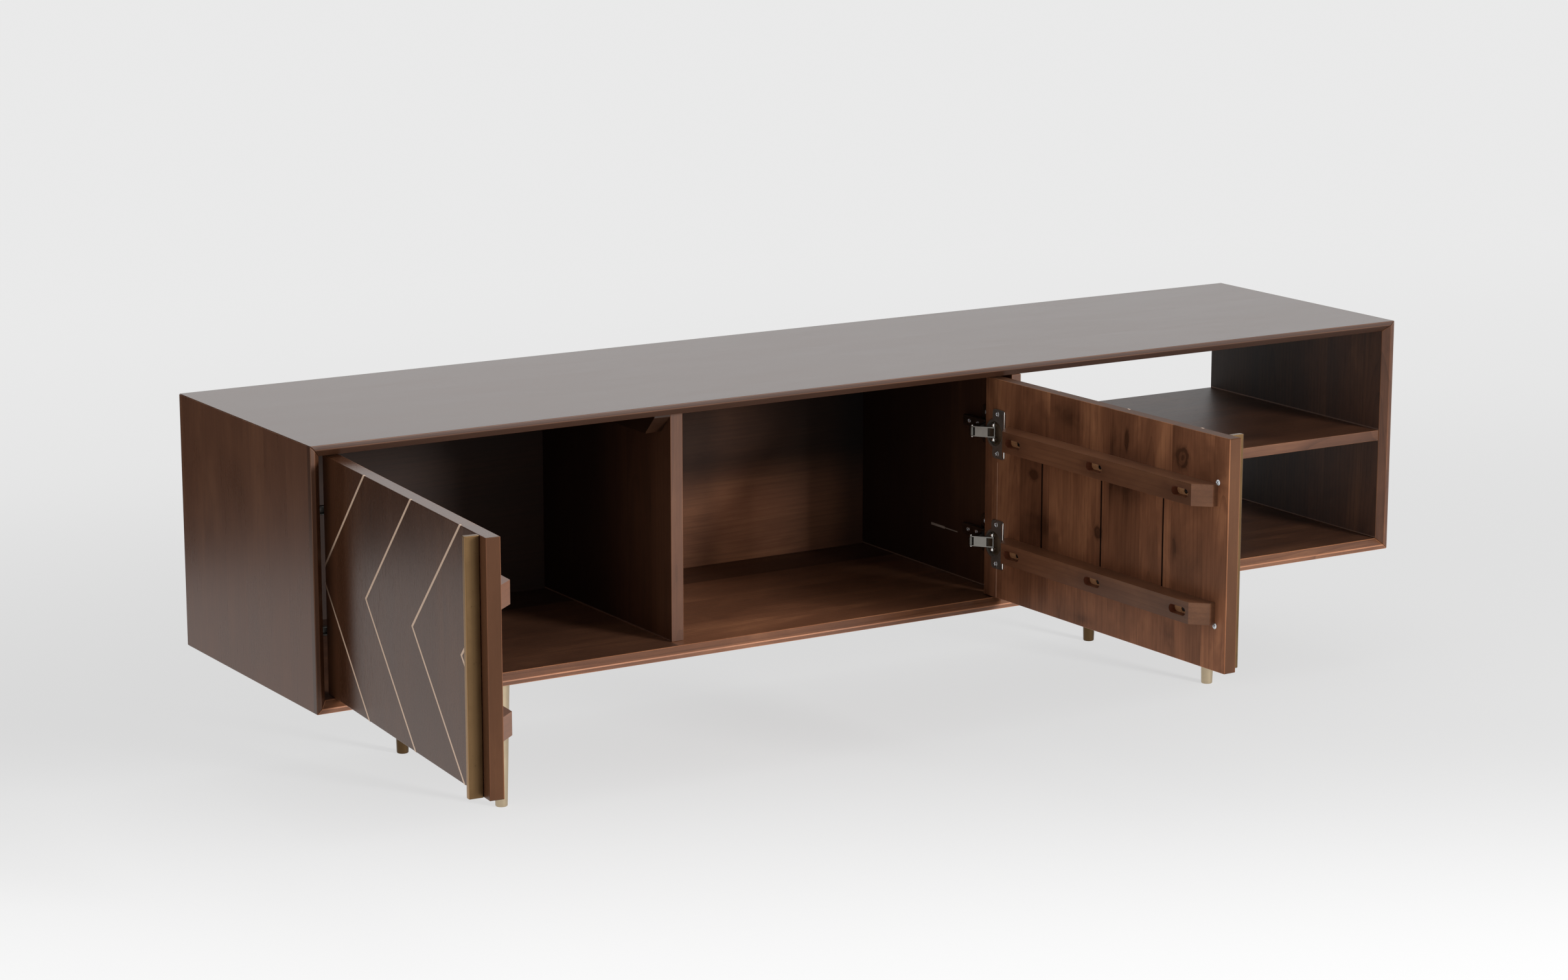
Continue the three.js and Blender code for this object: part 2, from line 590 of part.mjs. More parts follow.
// A door with its hinges. `side` is 1 for the left door and -1 for the right one, which is the
// left one seen in a mirror.
function doorSet(label, side, wallX, openAngle) {
  const group = new THREE.Group();
  group.position.set(wallX, 0, 0);
  const add = (parent, name, body, finish, place = [0, 0, 0]) => {
    const geometry = side > 0 ? geometryOf(body) : mirrored(geometryOf(body));
    const mesh = piece(name, geometry, finish);
    mesh.position.set(side * place[0], place[1], place[2]);
    parent.add(mesh);
  };
  const names = ['upper', 'lower'];

  const door = new THREE.Group();
  door.position.set(side * HINGE_AXIS_IN, HINGE_AXIS_Y, DOOR_BOTTOM);
  door.rotation.z = -side * THREE.MathUtils.degToRad(openAngle);
  group.add(door);
  const leaf = new THREE.Group();
  leaf.position.set(side * (DOOR_SIDE_GAP - HINGE_AXIS_IN), -HINGE_AXIS_BACK, 0);
  door.add(leaf);
  add(leaf, `door_${label}`, doorPanel(), walnut);
  add(leaf, `pull_${label}`, pull(), brass);
  add(leaf, `inlay_${label}_1_upper`, chevronHalf(0, 1, 0), paleBrass);
  add(leaf, `inlay_${label}_1_lower`, chevronHalf(0, -1, 0), paleBrass);
  for (let number = 1; number < CHEVRON_COUNT; number += 1) {
    add(leaf, `inlay_${label}_${number + 1}`, chevron(number, 0), paleBrass);
  }
  BATTEN_LEVELS.forEach((level, i) => {
    add(leaf, `batten_${label}_${names[i]}`, batten(level), walnutEdge);
    add(leaf, `hinge_cup_${label}_${names[i]}`, cup(), nickel, [0, 0, level]);
  });

  HINGE_LEVELS.forEach((level, i) => {
    add(group, `hinge_plate_${label}_${names[i]}`, mountingPlate(), nickel, [0, 0, level]);
    add(group, `hinge_arm_${label}_${names[i]}`, arm(), nickel, [0, 0, level]);
    const swing = new THREE.Group();
    swing.position.set(side * ARM_PIN[0], ARM_PIN[1], level);
    swing.rotation.z = side * (LINK_CLOSED + LINK_RATIO * THREE.MathUtils.degToRad(openAngle));
    group.add(swing);
    add(swing, `hinge_link_${label}_${names[i]}`, link(), nickel);
  });
  return group;
}

// ---------------------------------------------------------------------------------------------
// The cabinet stands on the ground with the middle of its outline, doors open, at the origin.

const cabinet = new THREE.Group();
cabinet.add(carcass());
cabinet.add(doorSet('left', 1, BOARD, LEFT_OPEN_ANGLE));
cabinet.add(doorSet('right', -1, PARTITION_X, RIGHT_OPEN_ANGLE));
const outline = new THREE.Box3().setFromObject(cabinet, true);
const middle = outline.getCenter(new THREE.Vector3());
cabinet.position.set(-middle.x, -middle.y, -outline.min.z);

export default cabinet;
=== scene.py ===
import json
import math

import bmesh
import bpy
import numpy as np
from bpy.props import FloatProperty, FloatVectorProperty, IntProperty, PointerProperty
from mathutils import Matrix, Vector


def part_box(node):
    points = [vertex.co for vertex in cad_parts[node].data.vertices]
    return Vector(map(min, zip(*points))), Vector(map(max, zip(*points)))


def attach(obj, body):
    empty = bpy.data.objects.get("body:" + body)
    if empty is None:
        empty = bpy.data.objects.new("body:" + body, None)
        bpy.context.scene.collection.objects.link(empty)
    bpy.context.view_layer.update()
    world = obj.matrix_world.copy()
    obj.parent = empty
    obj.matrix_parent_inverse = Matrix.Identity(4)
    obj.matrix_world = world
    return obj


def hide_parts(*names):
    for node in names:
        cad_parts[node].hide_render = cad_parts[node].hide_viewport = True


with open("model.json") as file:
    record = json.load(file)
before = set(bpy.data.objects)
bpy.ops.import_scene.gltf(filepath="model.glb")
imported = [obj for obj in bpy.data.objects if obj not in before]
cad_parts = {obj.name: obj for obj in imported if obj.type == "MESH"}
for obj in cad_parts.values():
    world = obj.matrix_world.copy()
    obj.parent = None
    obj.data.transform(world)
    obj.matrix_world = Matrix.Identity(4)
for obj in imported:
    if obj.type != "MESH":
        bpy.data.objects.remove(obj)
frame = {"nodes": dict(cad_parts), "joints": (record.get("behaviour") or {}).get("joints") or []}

bl_info = {
    "name": "Media Cabinet Dressing",
    "version": (1, 0, 0),
    "blender": (4, 5, 0),
    "location": "3D View > Sidebar > Cabinet",
    "description": "Timber, brass, hinges, screws and a studio for a low cabinet with two doors",
    "category": "Object",
}

MM = 0.001
SIDES = ("left", "right")
LEVELS = ("upper", "lower")
CORNERS = ("front_left", "front_right", "rear_left", "rear_right")
CHEVRONS = ("1_upper", "1_lower", "2", "3", "4")

MERGED_WITHIN = 0.004 * MM  # A solid's corners nearer than this are one
FLAT_UP_TO = math.radians(0.4)  # Faces that turn by less than this are one
ROUNDED_FROM = math.radians(32)  # An arris that turns by less than this stays as it is
POCKET_INSET = 41.5 * MM  # From a batten's end to the middle of its outer pocket
POCKET_HALF = (17.2 * MM, 6.2 * MM)  # Half a pocket's length and width
POCKET_DEPTH = 10.5 * MM
LINK_SIDE = 7.7 * MM  # From the middle of a hinge to the outside of its link


# --------------------------------------------------------------------------------------------
# Places

class Leaf:
    """A door, and the way from places on it to places in the room.

    A place on the leaf is (from the hinge edge, from the outer face, from the bottom edge), in
    metres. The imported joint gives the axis, and its farther limit is the turn that shuts it.
    """

    def __init__(self, side):
        joint = next(j for j in frame["joints"] if j["name"] == f"door_{side}_swing")
        self.body = f"door_{side}"
        self.hand = 1 if side == "left" else -1
        self.axis = np.array(joint["pos_m"])
        self.turn = math.radians(max(joint["range_deg"], key=abs))
        shut = self.shut(points_of(self.body))
        self.low = shut.min(axis=0)
        self.high = shut.max(axis=0)
        self.edge = self.low[0] if self.hand > 0 else self.high[0]
        self.width, self.thickness, self.height = self.high - self.low

    def shut(self, points):
        """Points of the standing door, carried to where they are when it is shut."""
        return (points - self.axis) @ turned(self.turn).T + self.axis

    def standing(self, points):
        """Points of the shut door, carried to where they are as the door stands."""
        return (points - self.axis) @ turned(-self.turn).T + self.axis

    def along(self, u):
        """The x, on the shut door, of what lies u from the hinge edge."""
        return self.edge + self.hand * u

    def places(self, places):
        """Places on the leaf, as points in the room."""
        u, y, z = np.asarray(places, float).T
        return self.standing(np.stack([self.along(u), self.low[1] + y, self.low[2] + z], 1))

    def directions(self, directions):
        """Directions on the leaf, as directions in the room."""
        return (np.asarray(directions, float) * [self.hand, 1, 1]) @ turned(-self.turn).T

    def node_box(self, node):
        """Lowest and highest place on the leaf of one of its nodes."""
        corner = [self.edge, self.low[1], self.low[2]]
        spots = (self.shut(points_of(node)) - corner) * [self.hand, 1, 1]
        return spots.min(axis=0), spots.max(axis=0)


def points_of(node):
    """A node's vertices as an array of (x, y, z)."""
    mesh = frame["nodes"][node].data
    flat = np.empty(len(mesh.vertices) * 3, np.float32)
    mesh.vertices.foreach_get("co", flat)
    return flat.reshape(-1, 3).astype(float)


def triangles_of(node):
    """A node's triangles as an array of three vertex numbers each."""
    mesh = frame["nodes"][node].data
    corners = np.empty(len(mesh.loops), np.int32)
    mesh.loops.foreach_get("vertex_index", corners)
    return corners.reshape(-1, 3)


def turned(angle):
    """The matrix that turns by an angle about +Z: x' = x cos - y sin, y' = x sin + y cos."""
    c, s = math.cos(angle), math.sin(angle)
    return np.array([[c, -s, 0.0], [s, c, 0.0], [0.0, 0.0, 1.0]])


def box_of(node):
    """Lowest and highest corner of a node, as arrays."""
    low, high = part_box(node)
    return np.array(low), np.array(high)


def at_levels(part, side, box=box_of):
    """The box of a side's upper and then its lower part, each with its middle height."""
    for level in LEVELS:
        low, high = box(f"{part}_{side}_{level}")
        yield low, high, (low[2] + high[2]) / 2


LEAVES = {side: Leaf(side) for side in SIDES}


# --------------------------------------------------------------------------------------------
# Surfaces

def outward(vertices, faces):
    """The faces, all turned over when the volume inside them comes out negative.

    Six times the volume is the sum over the faces' fans of a . (b x c).
    """
    volume = sum(float(np.einsum("ij,ikj->", vertices[f[:, 0]],
                                 np.cross(vertices[f[:, 1:-1]], vertices[f[:, 2:]])))
                 for f in faces)
    return faces if volume > 0 else [f[:, ::-1] for f in faces]


def make_mesh(name, vertices, faces):
    """A smooth-shaded mesh from an array of vertices and a list of arrays of faces."""
    mesh = bpy.data.meshes.new(name)
    totals = np.concatenate([np.full(len(f), f.shape[1]) for f in faces])
    corners = np.concatenate([f.ravel() for f in faces])
    mesh.vertices.add(len(vertices))
    mesh.vertices.foreach_set("co", np.ascontiguousarray(vertices, np.float32).ravel())
    mesh.loops.add(len(corners))
    mesh.loops.foreach_set("vertex_index", corners.astype(np.int32))
    mesh.polygons.add(len(totals))
    mesh.polygons.foreach_set("loop_start", np.concatenate([[0], np.cumsum(totals)[:-1]]))
    mesh.polygons.foreach_set("loop_total", totals)
    mesh.polygons.foreach_set("use_smooth", np.ones(len(totals), bool))
    mesh.update(calc_edges=True)
    mesh.validate()
    return mesh


def put_in_scene(name, data):
    """A new object in the scene with that mesh, lamp or camera."""
    made = bpy.data.objects.new(name, data)
    bpy.context.scene.collection.objects.link(made)
    return made


def make_piece(name, mesh, body, slot, finishes, replaces=()):
    """Puts a mesh in the scene as a piece of the cabinet."""
    piece = put_in_scene(name, mesh)
    for finish in finishes:
        mesh.materials.append(finish)
    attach(piece, body)
    if replaces:
        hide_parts(*replaces)
    return piece


def walls_between(rings):
    """The vertex numbers of rings shaped (stations, points, 3), and the quads between them.

    Each quad joins two neighbours on one ring to the same two on the next ring.
    """
    index = np.arange(rings.shape[0] * rings.shape[1]).reshape(rings.shape[:2])
    beside = np.roll(index, -1, axis=1)
    walls = np.stack([index[:-1], beside[:-1], beside[1:], index[1:]], axis=-1)
    return index, walls.reshape(-1, 4)


def loft(rings):
    """A closed body: the walls between its rings, and a flat face at each end."""
    index, walls = walls_between(rings)
    vertices = rings.reshape(-1, 3)
    return vertices, outward(vertices, [walls, index[:1, ::-1], index[-1:]])


def loft_on(leaf, plans, levels):
    """A body on a leaf, through a plan of (from the hinge edge, from the face) at each level."""
    heights = np.broadcast_to(levels[:, None, None], (*plans.shape[:2], 1))
    rings = np.concatenate([plans, heights], axis=-1)
    return loft(leaf.places(rings.reshape(-1, 3)).reshape(rings.shape))


def lathed(profile, sectors):
    """A profile of (radius, height) turned about Z: (r cos t, r sin t, h), t round the circle."""
    profile = np.asarray(profile, float)
    t = np.linspace(0, 2 * math.pi, sectors, endpoint=False)
    rings = np.stack([profile[:, :1] * np.cos(t), profile[:, :1] * np.sin(t),
                      np.repeat(profile[:, 1:], sectors, axis=1)], axis=-1)
    return loft(rings)


def filleted(corners, radius, steps):
    """A convex outline with each corner turned into an arc.

    With unit vectors a and b from a corner along its two sides, and half the angle between them
    h, the arc's centre is the corner + (a + b) / |a + b| * radius / sin h, and the arc runs
    between the feet of the perpendiculars from that centre to the two sides.
    """
    corners = np.asarray(corners, float)
    before = np.roll(corners, 1, axis=0) - corners
    after = np.roll(corners, -1, axis=0) - corners
    a = before / np.linalg.norm(before, axis=1, keepdims=True)
    b = after / np.linalg.norm(after, axis=1, keepdims=True)
    middle = (a + b) / np.linalg.norm(a + b, axis=1, keepdims=True)
    half = np.arccos(np.clip((a * b).sum(axis=1), -1, 1)) / 2
    centre = corners + middle * (radius / np.sin(half))[:, None]
    foot = corners + a * (radius / np.tan(half))[:, None] - centre
    sweep = (math.pi - 2 * half) * np.sign(a[:, 1] * b[:, 0] - a[:, 0] * b[:, 1])
    turn = sweep[:, None] * np.linspace(0, 1, steps + 1)
    x = foot[:, :1] * np.cos(turn) - foot[:, 1:] * np.sin(turn)
    y = foot[:, :1] * np.sin(turn) + foot[:, 1:] * np.cos(turn)
    return (centre[:, None] + np.stack([x, y], axis=-1)).reshape(-1, 2)


def rounded_bar(low, high, radius):
    """The outline of a rectangle between two corners, filleted."""
    corners = [(low[0], low[1]), (high[0], low[1]), (high[0], high[1]), (low[0], high[1])]
    return filleted(corners, radius, 4)


def rounded_rim(radius, fillet, steps):
    """A profile up from a flat end: (R - f + f sin t, f - f cos t), t over a quarter circle."""
    t = np.linspace(0, math.pi / 2, steps + 1)
    return np.stack([radius - fillet + fillet * np.sin(t), fillet - fillet * np.cos(t)], axis=1)


def joined(bodies):
    """Several bodies as one, from a list of (vertices, faces)."""
    starts = np.cumsum([0] + [len(vertices) for vertices, _ in bodies])
    faces = [f + start for (_, some), start in zip(bodies, starts) for f in some]
    return np.concatenate([vertices for vertices, _ in bodies]), faces


def repeated(vertices, faces, origins, axes, rolls):
    """Copies of one body at the origins, each with its +Z along an axis and rolled by r.

    With z the axis and s a direction well off it, x is s cross z and y is z cross x. A point
    (p, q, h) of the body goes to p (x cos r + y sin r) + q (y cos r - x sin r) + h z.
    """
    axes = np.asarray(axes, float)
    z = axes / np.linalg.norm(axes, axis=1, keepdims=True)
    aside = np.where(np.abs(z[:, 2:]) > 0.9, [[1.0, 0.0, 0.0]], [[0.0, 0.0, 1.0]])
    x = np.cross(aside, z)
    x /= np.linalg.norm(x, axis=1, keepdims=True)
    y = np.cross(z, x)
    c, s = np.cos(rolls)[:, None], np.sin(rolls)[:, None]
    basis = np.stack([x * c + y * s, y * c - x * s, z], axis=1)
    placed = np.einsum("vk,nkj->nvj", vertices, basis) + np.asarray(origins)[:, None]
    shift = np.arange(len(placed))[:, None, None] * len(vertices)
    return placed.reshape(-1, 3), [(f[None] + shift).reshape(-1, f.shape[1]) for f in faces]


def make_copies(name, solid, origins, axes, rolls, body, plating):
    """A piece of like bodies, one at each origin."""
    vertices, faces = repeated(*solid, origins, axes, rolls)
    make_piece(name, make_mesh(name, vertices, faces), body, "nickel", (plating,))


def eased_copy(node, radius, steps, body, slot, finishes, outer_only=None):
    """The node's solid with its arrises rounded, standing for the node.

    Its loose triangles are merged and its flat faces made whole first. With `outer_only`, a
    function to the frame in which the piece is square, only the arrises on its own box are
    rounded. The rounding takes the last finish.
    """
    form = bmesh.new()
    form.from_mesh(make_mesh("loose", points_of(node), [triangles_of(node)]))
    bmesh.ops.remove_doubles(form, verts=form.verts, dist=MERGED_WITHIN)
    bmesh.ops.dissolve_limit(form, angle_limit=FLAT_UP_TO, verts=form.verts, edges=form.edges)
    if outer_only is not None:
        mark_outer_arrises(form, outer_only)
    mesh = bpy.data.meshes.new(f"{node}_eased")
    form.to_mesh(mesh)
    form.free()
    piece = make_piece(f"{node}_eased", mesh, body, slot, finishes, (node,))
    rounding = piece.modifiers.new("Eased arrises", "BEVEL")
    rounding.width = radius
    rounding.segments = steps
    rounding.limit_method = "ANGLE" if outer_only is None else "WEIGHT"
    rounding.angle_limit = ROUNDED_FROM
    rounding.harden_normals = True
    rounding.material = len(finishes) - 1


def mark_outer_arrises(form, squared):
    """Gives a bevel weight of 1 to each edge that lies on two faces of the piece's box.

    The other arrises stay sharp.
    """
    slack = 0.02 * MM
    points = squared(np.array([v.co for v in form.verts]))
    near = np.concatenate([np.abs(points - points.min(axis=0)) < slack,
                           np.abs(points - points.max(axis=0)) < slack], axis=1)
    ends = np.array([[v.index for v in edge.verts] for edge in form.edges])
    weight = (near[ends[:, 0]] & near[ends[:, 1]]).sum(axis=1) >= 2
    layer = form.edges.layers.float.new("bevel_weight_edge")
    for edge, marked in zip(form.edges, weight):
        edge[layer] = float(marked)
        edge.smooth = bool(marked) or edge.calc_face_angle(0.0) < ROUNDED_FROM


# --------------------------------------------------------------------------------------------
# Finishes

class Wire:
    """A number, colour or vector in a node tree. Arithmetic on numbers adds Math nodes."""

    def __init__(self, recipe, socket):
        self.recipe = recipe
        self.socket = socket

    def _maths(self, operation, first, second=None):
        """A Math node on one or two numbers or wires."""
        values = {0: first} if second is None else {0: first, 1: second}
        return self.recipe.node("ShaderNodeMath", {"operation": operation}, values)

    def __add__(self, other):
        return self._maths("ADD", self, other)

    def __sub__(self, other):
        return self._maths("SUBTRACT", self, other)

    def __rsub__(self, other):
        return self._maths("SUBTRACT", other, self)

    def __mul__(self, other):
        return self._maths("MULTIPLY", self, other)

    def __truediv__(self, other):
        return self._maths("DIVIDE", self, other)

    def __rtruediv__(self, other):
        return self._maths("DIVIDE", other, self)

    def __pow__(self, other):
        return self._maths("POWER", self, other)

    __radd__ = __add__
    __rmul__ = __mul__

    def floor(self):
        return self._maths("FLOOR", self)

    def root(self):
        return self._maths("SQRT", self)

    def size(self):
        return self._maths("ABSOLUTE", self)

    def between(self, low, high):
        """0 below low and 1 above high, with a smooth step from one to the other."""
        return self.recipe.node("ShaderNodeMapRange", {"interpolation_type": "SMOOTHSTEP"},
                                {"Value": self, "From Min": low, "From Max": high})


class Recipe:
    """The node tree of a material or of the world, made one node at a time."""

    def __init__(self, owner):
        owner.use_nodes = True
        self.tree = owner.node_tree
        self.tree.nodes.clear()

    def node(self, kind, settings=(), values=(), output=0):
        """Adds a node: its settings first, then the values or wires of its sockets."""
        made = self.tree.nodes.new(kind)
        for key, value in dict(settings).items():
            if key == "stops":
                while len(made.color_ramp.elements) < len(value):
                    made.color_ramp.elements.new(1.0)
                for stop, (position, colour) in zip(made.color_ramp.elements, value):
                    stop.position = position
                    stop.color = colour
            else:
                setattr(made, key, value)
        for key, value in dict(values).items():
            if isinstance(value, Wire):
                self.tree.links.new(value.socket, made.inputs[key])
            else:
                made.inputs[key].default_value = value
        return Wire(self, made.outputs[output]) if made.outputs else None

    def place(self, leaf=None):
        """Object coordinates as three numbers. On a leaf they are those of the shut door."""
        here = self.node("ShaderNodeTexCoord", output="Object")
        if leaf is not None:
            shift = leaf.axis - turned(leaf.turn) @ leaf.axis
            here = self.node("ShaderNodeMapping", {}, {
                "Vector": here, "Location": tuple(shift), "Rotation": (0, 0, leaf.turn)})
        return self.parts(here)

    def parts(self, vector):
        """The three numbers of a vector or a colour."""
        apart = self.node("ShaderNodeSeparateXYZ", {}, {0: vector})
        return [Wire(self, apart.socket.node.outputs[i]) for i in range(3)]

    def vector(self, x, y, z):
        """Three numbers as a vector."""
        return self.node("ShaderNodeCombineXYZ", {}, {0: x, 1: y, 2: z})

    def noise(self, where, scale, detail=2.0, roughness=0.5, distortion=0.0):
        """Noise from 0 to 1, with `scale` features to a metre."""
        return self.node("ShaderNodeTexNoise", {}, {
            "Vector": where, "Scale": scale, "Detail": detail, "Roughness": roughness,
            "Distortion": distortion})

    def ramp(self, factor, *stops):
        """A colour from stops of (position, colour)."""
        return self.node("ShaderNodeValToRGB", {"stops": stops}, {"Fac": factor})

    def mix(self, factor, first, second):
        """The first colour at 0 and the second at 1."""
        return self.node("ShaderNodeMix", {"data_type": "RGBA"},
                         {0: factor, 6: first, 7: second}, output=2)

    def bump(self, height, distance, strength):
        """A normal that makes a height from 0 to 1 look as deep as the distance."""
        return self.node("ShaderNodeBump", {}, {
            "Height": height, "Distance": distance, "Strength": strength})

    def seen(self):
        """1 for what the camera sees straight on, in gloss or through glass, and else 0."""
        path = self.node("ShaderNodeLightPath").socket.node.outputs
        camera, gloss, glass = (Wire(self, path[f"Is {kind} Ray"])
                                for kind in ("Camera", "Glossy", "Transmission"))
        return camera + gloss + glass

    def surface(self, **values):
        """Ends a material in a Principled shader whose sockets are named with underscores."""
        named = {key.replace("_", " "): value for key, value in values.items()}
        shader = self.node("ShaderNodeBsdfPrincipled", {}, named)
        self.node("ShaderNodeOutputMaterial", {}, {"Surface": shader})


def linear(red, green, blue):
    """A colour written as 0 to 255 for the screen, as the scene-linear colour of a socket."""
    screen = np.array([red, green, blue]) / 255
    values = np.where(screen <= 0.04045, screen / 12.92, ((screen + 0.055) / 1.055) ** 2.4)
    return (*values.tolist(), 1.0)


def scaled(colour, by):
    """A colour with its three parts multiplied by a number."""
    return (*(min(1.0, part * by) for part in colour[:3]), 1.0)


def finish(name, make):
    """The material of that name, made by `make` the first time it is asked for."""
    found = bpy.data.materials.get(name)
    if found is None:
        found = bpy.data.materials.new(name)
        make(Recipe(found))
    return found


def timber(name, axes, leaf=None, seed=0.0, tone=1.0, steps=(), stave=0.0635, life=0.5,
           blotch=0.4, gloss=0.24, ior=1.5, rubbed=0.0, knots=(), stains=(), lines=(),
           within=None, slots=(), warmth=(1.0, 1.0, 1.0)):
    """Stained timber under satin lacquer, glued up from staves.

    `axes` orders the coordinates as along the grain, across the face, and into the wood. Each
    stave is sawn at its own slant to the pith, so that its growth rings make arches: with s the
    way across from the pith and d(a) the depth of the pith, which changes along the grain, the
    ring's number is n sqrt(s^2 + d(a)^2). Latewood darkens the last part of each ring. A knot
    (across, along, half width, half length) adds a hump to the number, so that the rings close
    round it, and has a dark rim and heart. A stain is only a soft dark patch. Fibres, streaks
    and patches are noise, drawn out along the grain. `life` is the strength of the figure and
    `blotch` that of the patches.

    Steps (axis, from, to, factor, duller) change the tone and the gloss past a place, and only
    within the limits (axis, from, to) that follow. Lines (axis, place, half width, colour,
    share, other axis, low, high) are kerfs and joints; the pale ones where an upright meets a
    board are painted highlights. `within` (axis, from, to) keeps knots, stains, lines and the
    strong figure to one face. `slots` are a batten's pockets, as `pocketed` takes them.
    `rubbed` paints the arris lighter, a highlight, with patches of wear, and
    `warmth` tints the gloss.
    """
    wood = bpy.context.scene.cabinet_timber

    def make(r):
        place = dict(zip("xyz", r.place(leaf)))
        along, across, deep = (place[axis] for axis in axes)
        share = across / stave + seed
        number = share.floor()
        luck = r.parts(r.node("ShaderNodeTexWhiteNoise", {"noise_dimensions": "1D"},
                              {"W": number + seed * 3.7}, output="Color"))
        # Each stave is cut from another place in the noise
        a = along + luck[0] * 5.0
        b = across + luck[1] * 3.0
        c = deep + luck[2] * 3.0
        off = share - number - 0.5

        def drawn_out(lengthwise, crosswise, *details):
            return r.noise(r.vector(a * lengthwise, b * crosswise, c * crosswise), 1.0, *details)

        sway = drawn_out(2.6, 13.0, 2.0) - 0.5
        slant = (luck[2] - 0.5) * 0.14
        pith = (along + (luck[1] - 0.5) * 0.7) * slant + sway * 0.05 + 0.004
        aside = (off + (luck[0] - 0.5) * 0.9) * stave
        ring = (aside * aside + pith * pith).root() * wood.figure
        scar = 0.0
        if knots or stains:
            hump, scar = scars(r, place, across, along, knots, stains)
            ring = ring + hump
        late = (ring - ring.floor()) ** 4.0

        fibre = drawn_out(9.0, 420.0, 4.0, 0.62) - 0.5
        streak = drawn_out(2.2, 30.0, 4.0, 0.6) - 0.5
        patch = drawn_out(5.0, 12.0, 4.0, 0.6, 0.5) - 0.5
        pore = drawn_out(60.0, 1500.0, 2.0).between(0.57, 0.7)
        marked = 1.0 if within is None else place[within[0]].between(*within[1:])
        calm = 0.4 + 0.6 * marked
        level = ((streak * 0.5 - (late - 0.2) * wood.contrast + (luck[0] - 0.5) * 0.2) * life
                 + patch * blotch + fibre * wood.fibre * (0.3 + 0.7 * life)) * calm + 0.5
        level = level - scar * marked

        # The arris finish is painted lighter as a highlight, and lighter still in patches of wear
        dark, middle, light = (scaled(linear(*stain), 1 + rubbed)
                               for stain in (wood.dark, wood.middle, wood.light))
        colour = r.ramp(level, (0.1, dark), (0.5, middle), (0.9, light))
        colour = r.mix(pore * 0.3 * life, colour, scaled(dark, 0.6))
        seam = 1.0 - ((0.5 - off.size()) * stave).between(0.15 * MM, 0.6 * MM)
        colour = r.mix(seam * life * 0.35, colour, scaled(dark, 0.8))
        if rubbed:
            wear = r.noise(r.vector(along * 5.0, across * 50.0, deep * 50.0), 1.0, 3.0)
            colour = r.mix(wear.between(0.3, 0.7) * 0.3, colour, scaled(light, 1.3))
        strength = tone
        sheen = gloss + fibre * 0.1 * life + pore * 0.1 * life + patch * 0.06
        for axis, start, end, factor, duller, *limits in steps:
            step = place[axis].between(start, end)
            for other, low, high in limits:
                step = place[other].between(low, high) * step
            strength = (step * (factor - 1) + 1) * strength
            sheen = step * duller + sheen
        colour = r.node("ShaderNodeVectorMath", {"operation": "SCALE"},
                        {"Vector": colour, "Scale": strength})
        for axis, at, half, tint, opacity, other, low, high in lines:
            line = 1.0 - (place[axis] - at).size().between(half * 0.6, half * 1.4)
            begun = place[other].between(low, low + 1 * MM)
            ended = place[other].between(high, high - 1 * MM)
            colour = r.mix(begun * ended * line * opacity * marked, colour, tint)
        if slots:
            colour = pocketed(r, place, slots, colour)
        r.surface(Base_Color=colour, Roughness=sheen, IOR=ior, Specular_Tint=(*warmth, 1.0),
                  Normal=r.bump(fibre * 0.3 - pore, 0.03 * MM, 0.2 + 0.3 * life))

    return finish(name, make)


def scars(r, place, across, along, knots, stains):
    """What knots add to a ring's number, and how far knots and stains darken the wood.

    With q the way from a scar's middle as a share of its size, wobbled by noise, a knot adds
    3.4 / (1 + q^2)^2 rings, a dark rim near q = 0.9, a dark heart and a halo. A stain darkens
    by 0.26 / (1 + 0.8 q^2)^2.
    """
    wobble = r.noise(r.vector(*place.values()), 60.0, 2.0) - 0.5
    hump = scar = 0.0
    for x, z, radius, length in knots:
        dx = (across - x) / radius + wobble * 1.2
        dz = (along - z) / length - wobble * 0.9
        far = (dx * dx + dz * dz).root()
        hump = 3.4 / (1.0 + far * far) ** 2.0 + hump
        rim = 1.0 - (far - 0.9).size().between(0.0, 0.35)
        heart = 1.0 - far.between(0.0, 0.4)
        halo = 1.0 - far.between(0.7, 1.9)
        scar = rim * (0.22 + wobble * 1.2) + heart * 0.25 + halo * 0.26 + scar
    for x, z, radius, length in stains:
        dx = (across - x) / radius + wobble * 1.6
        dz = (along - z) / length + wobble * 1.2
        scar = 0.26 / (1.0 + (dx * dx + dz * dz) * 0.8) ** 2.0 + scar
    return hump, scar


def pocketed(r, place, slots, colour):
    """The colour, but dark walls and a raw floor in the pockets of a batten.

    Slots are the pockets' places across, their heights, and the place of the batten's face.
    """
    places, heights, front = slots
    below = (front - place["y"]).between(0.6 * MM, 1.2 * MM)
    for axis, middles, half in zip("xz", (places, heights), POCKET_HALF):
        near = 0.0
        for middle in middles:
            near = (place[axis] - middle).size().between(half + 0.3 * MM, half) + near
        below = near * below
    grain = r.noise(r.vector(*place.values()), 700.0, 3.0)
    raw = r.ramp(grain, (0.3, linear(176, 124, 84)), (0.7, linear(206, 160, 118)))
    floor = (front - place["y"]).between(POCKET_DEPTH - 0.6 * MM, POCKET_DEPTH - 0.2 * MM)
    dark_wall = linear(96, 52, 36)
    return r.mix(below, colour, r.mix(floor, dark_wall, raw))


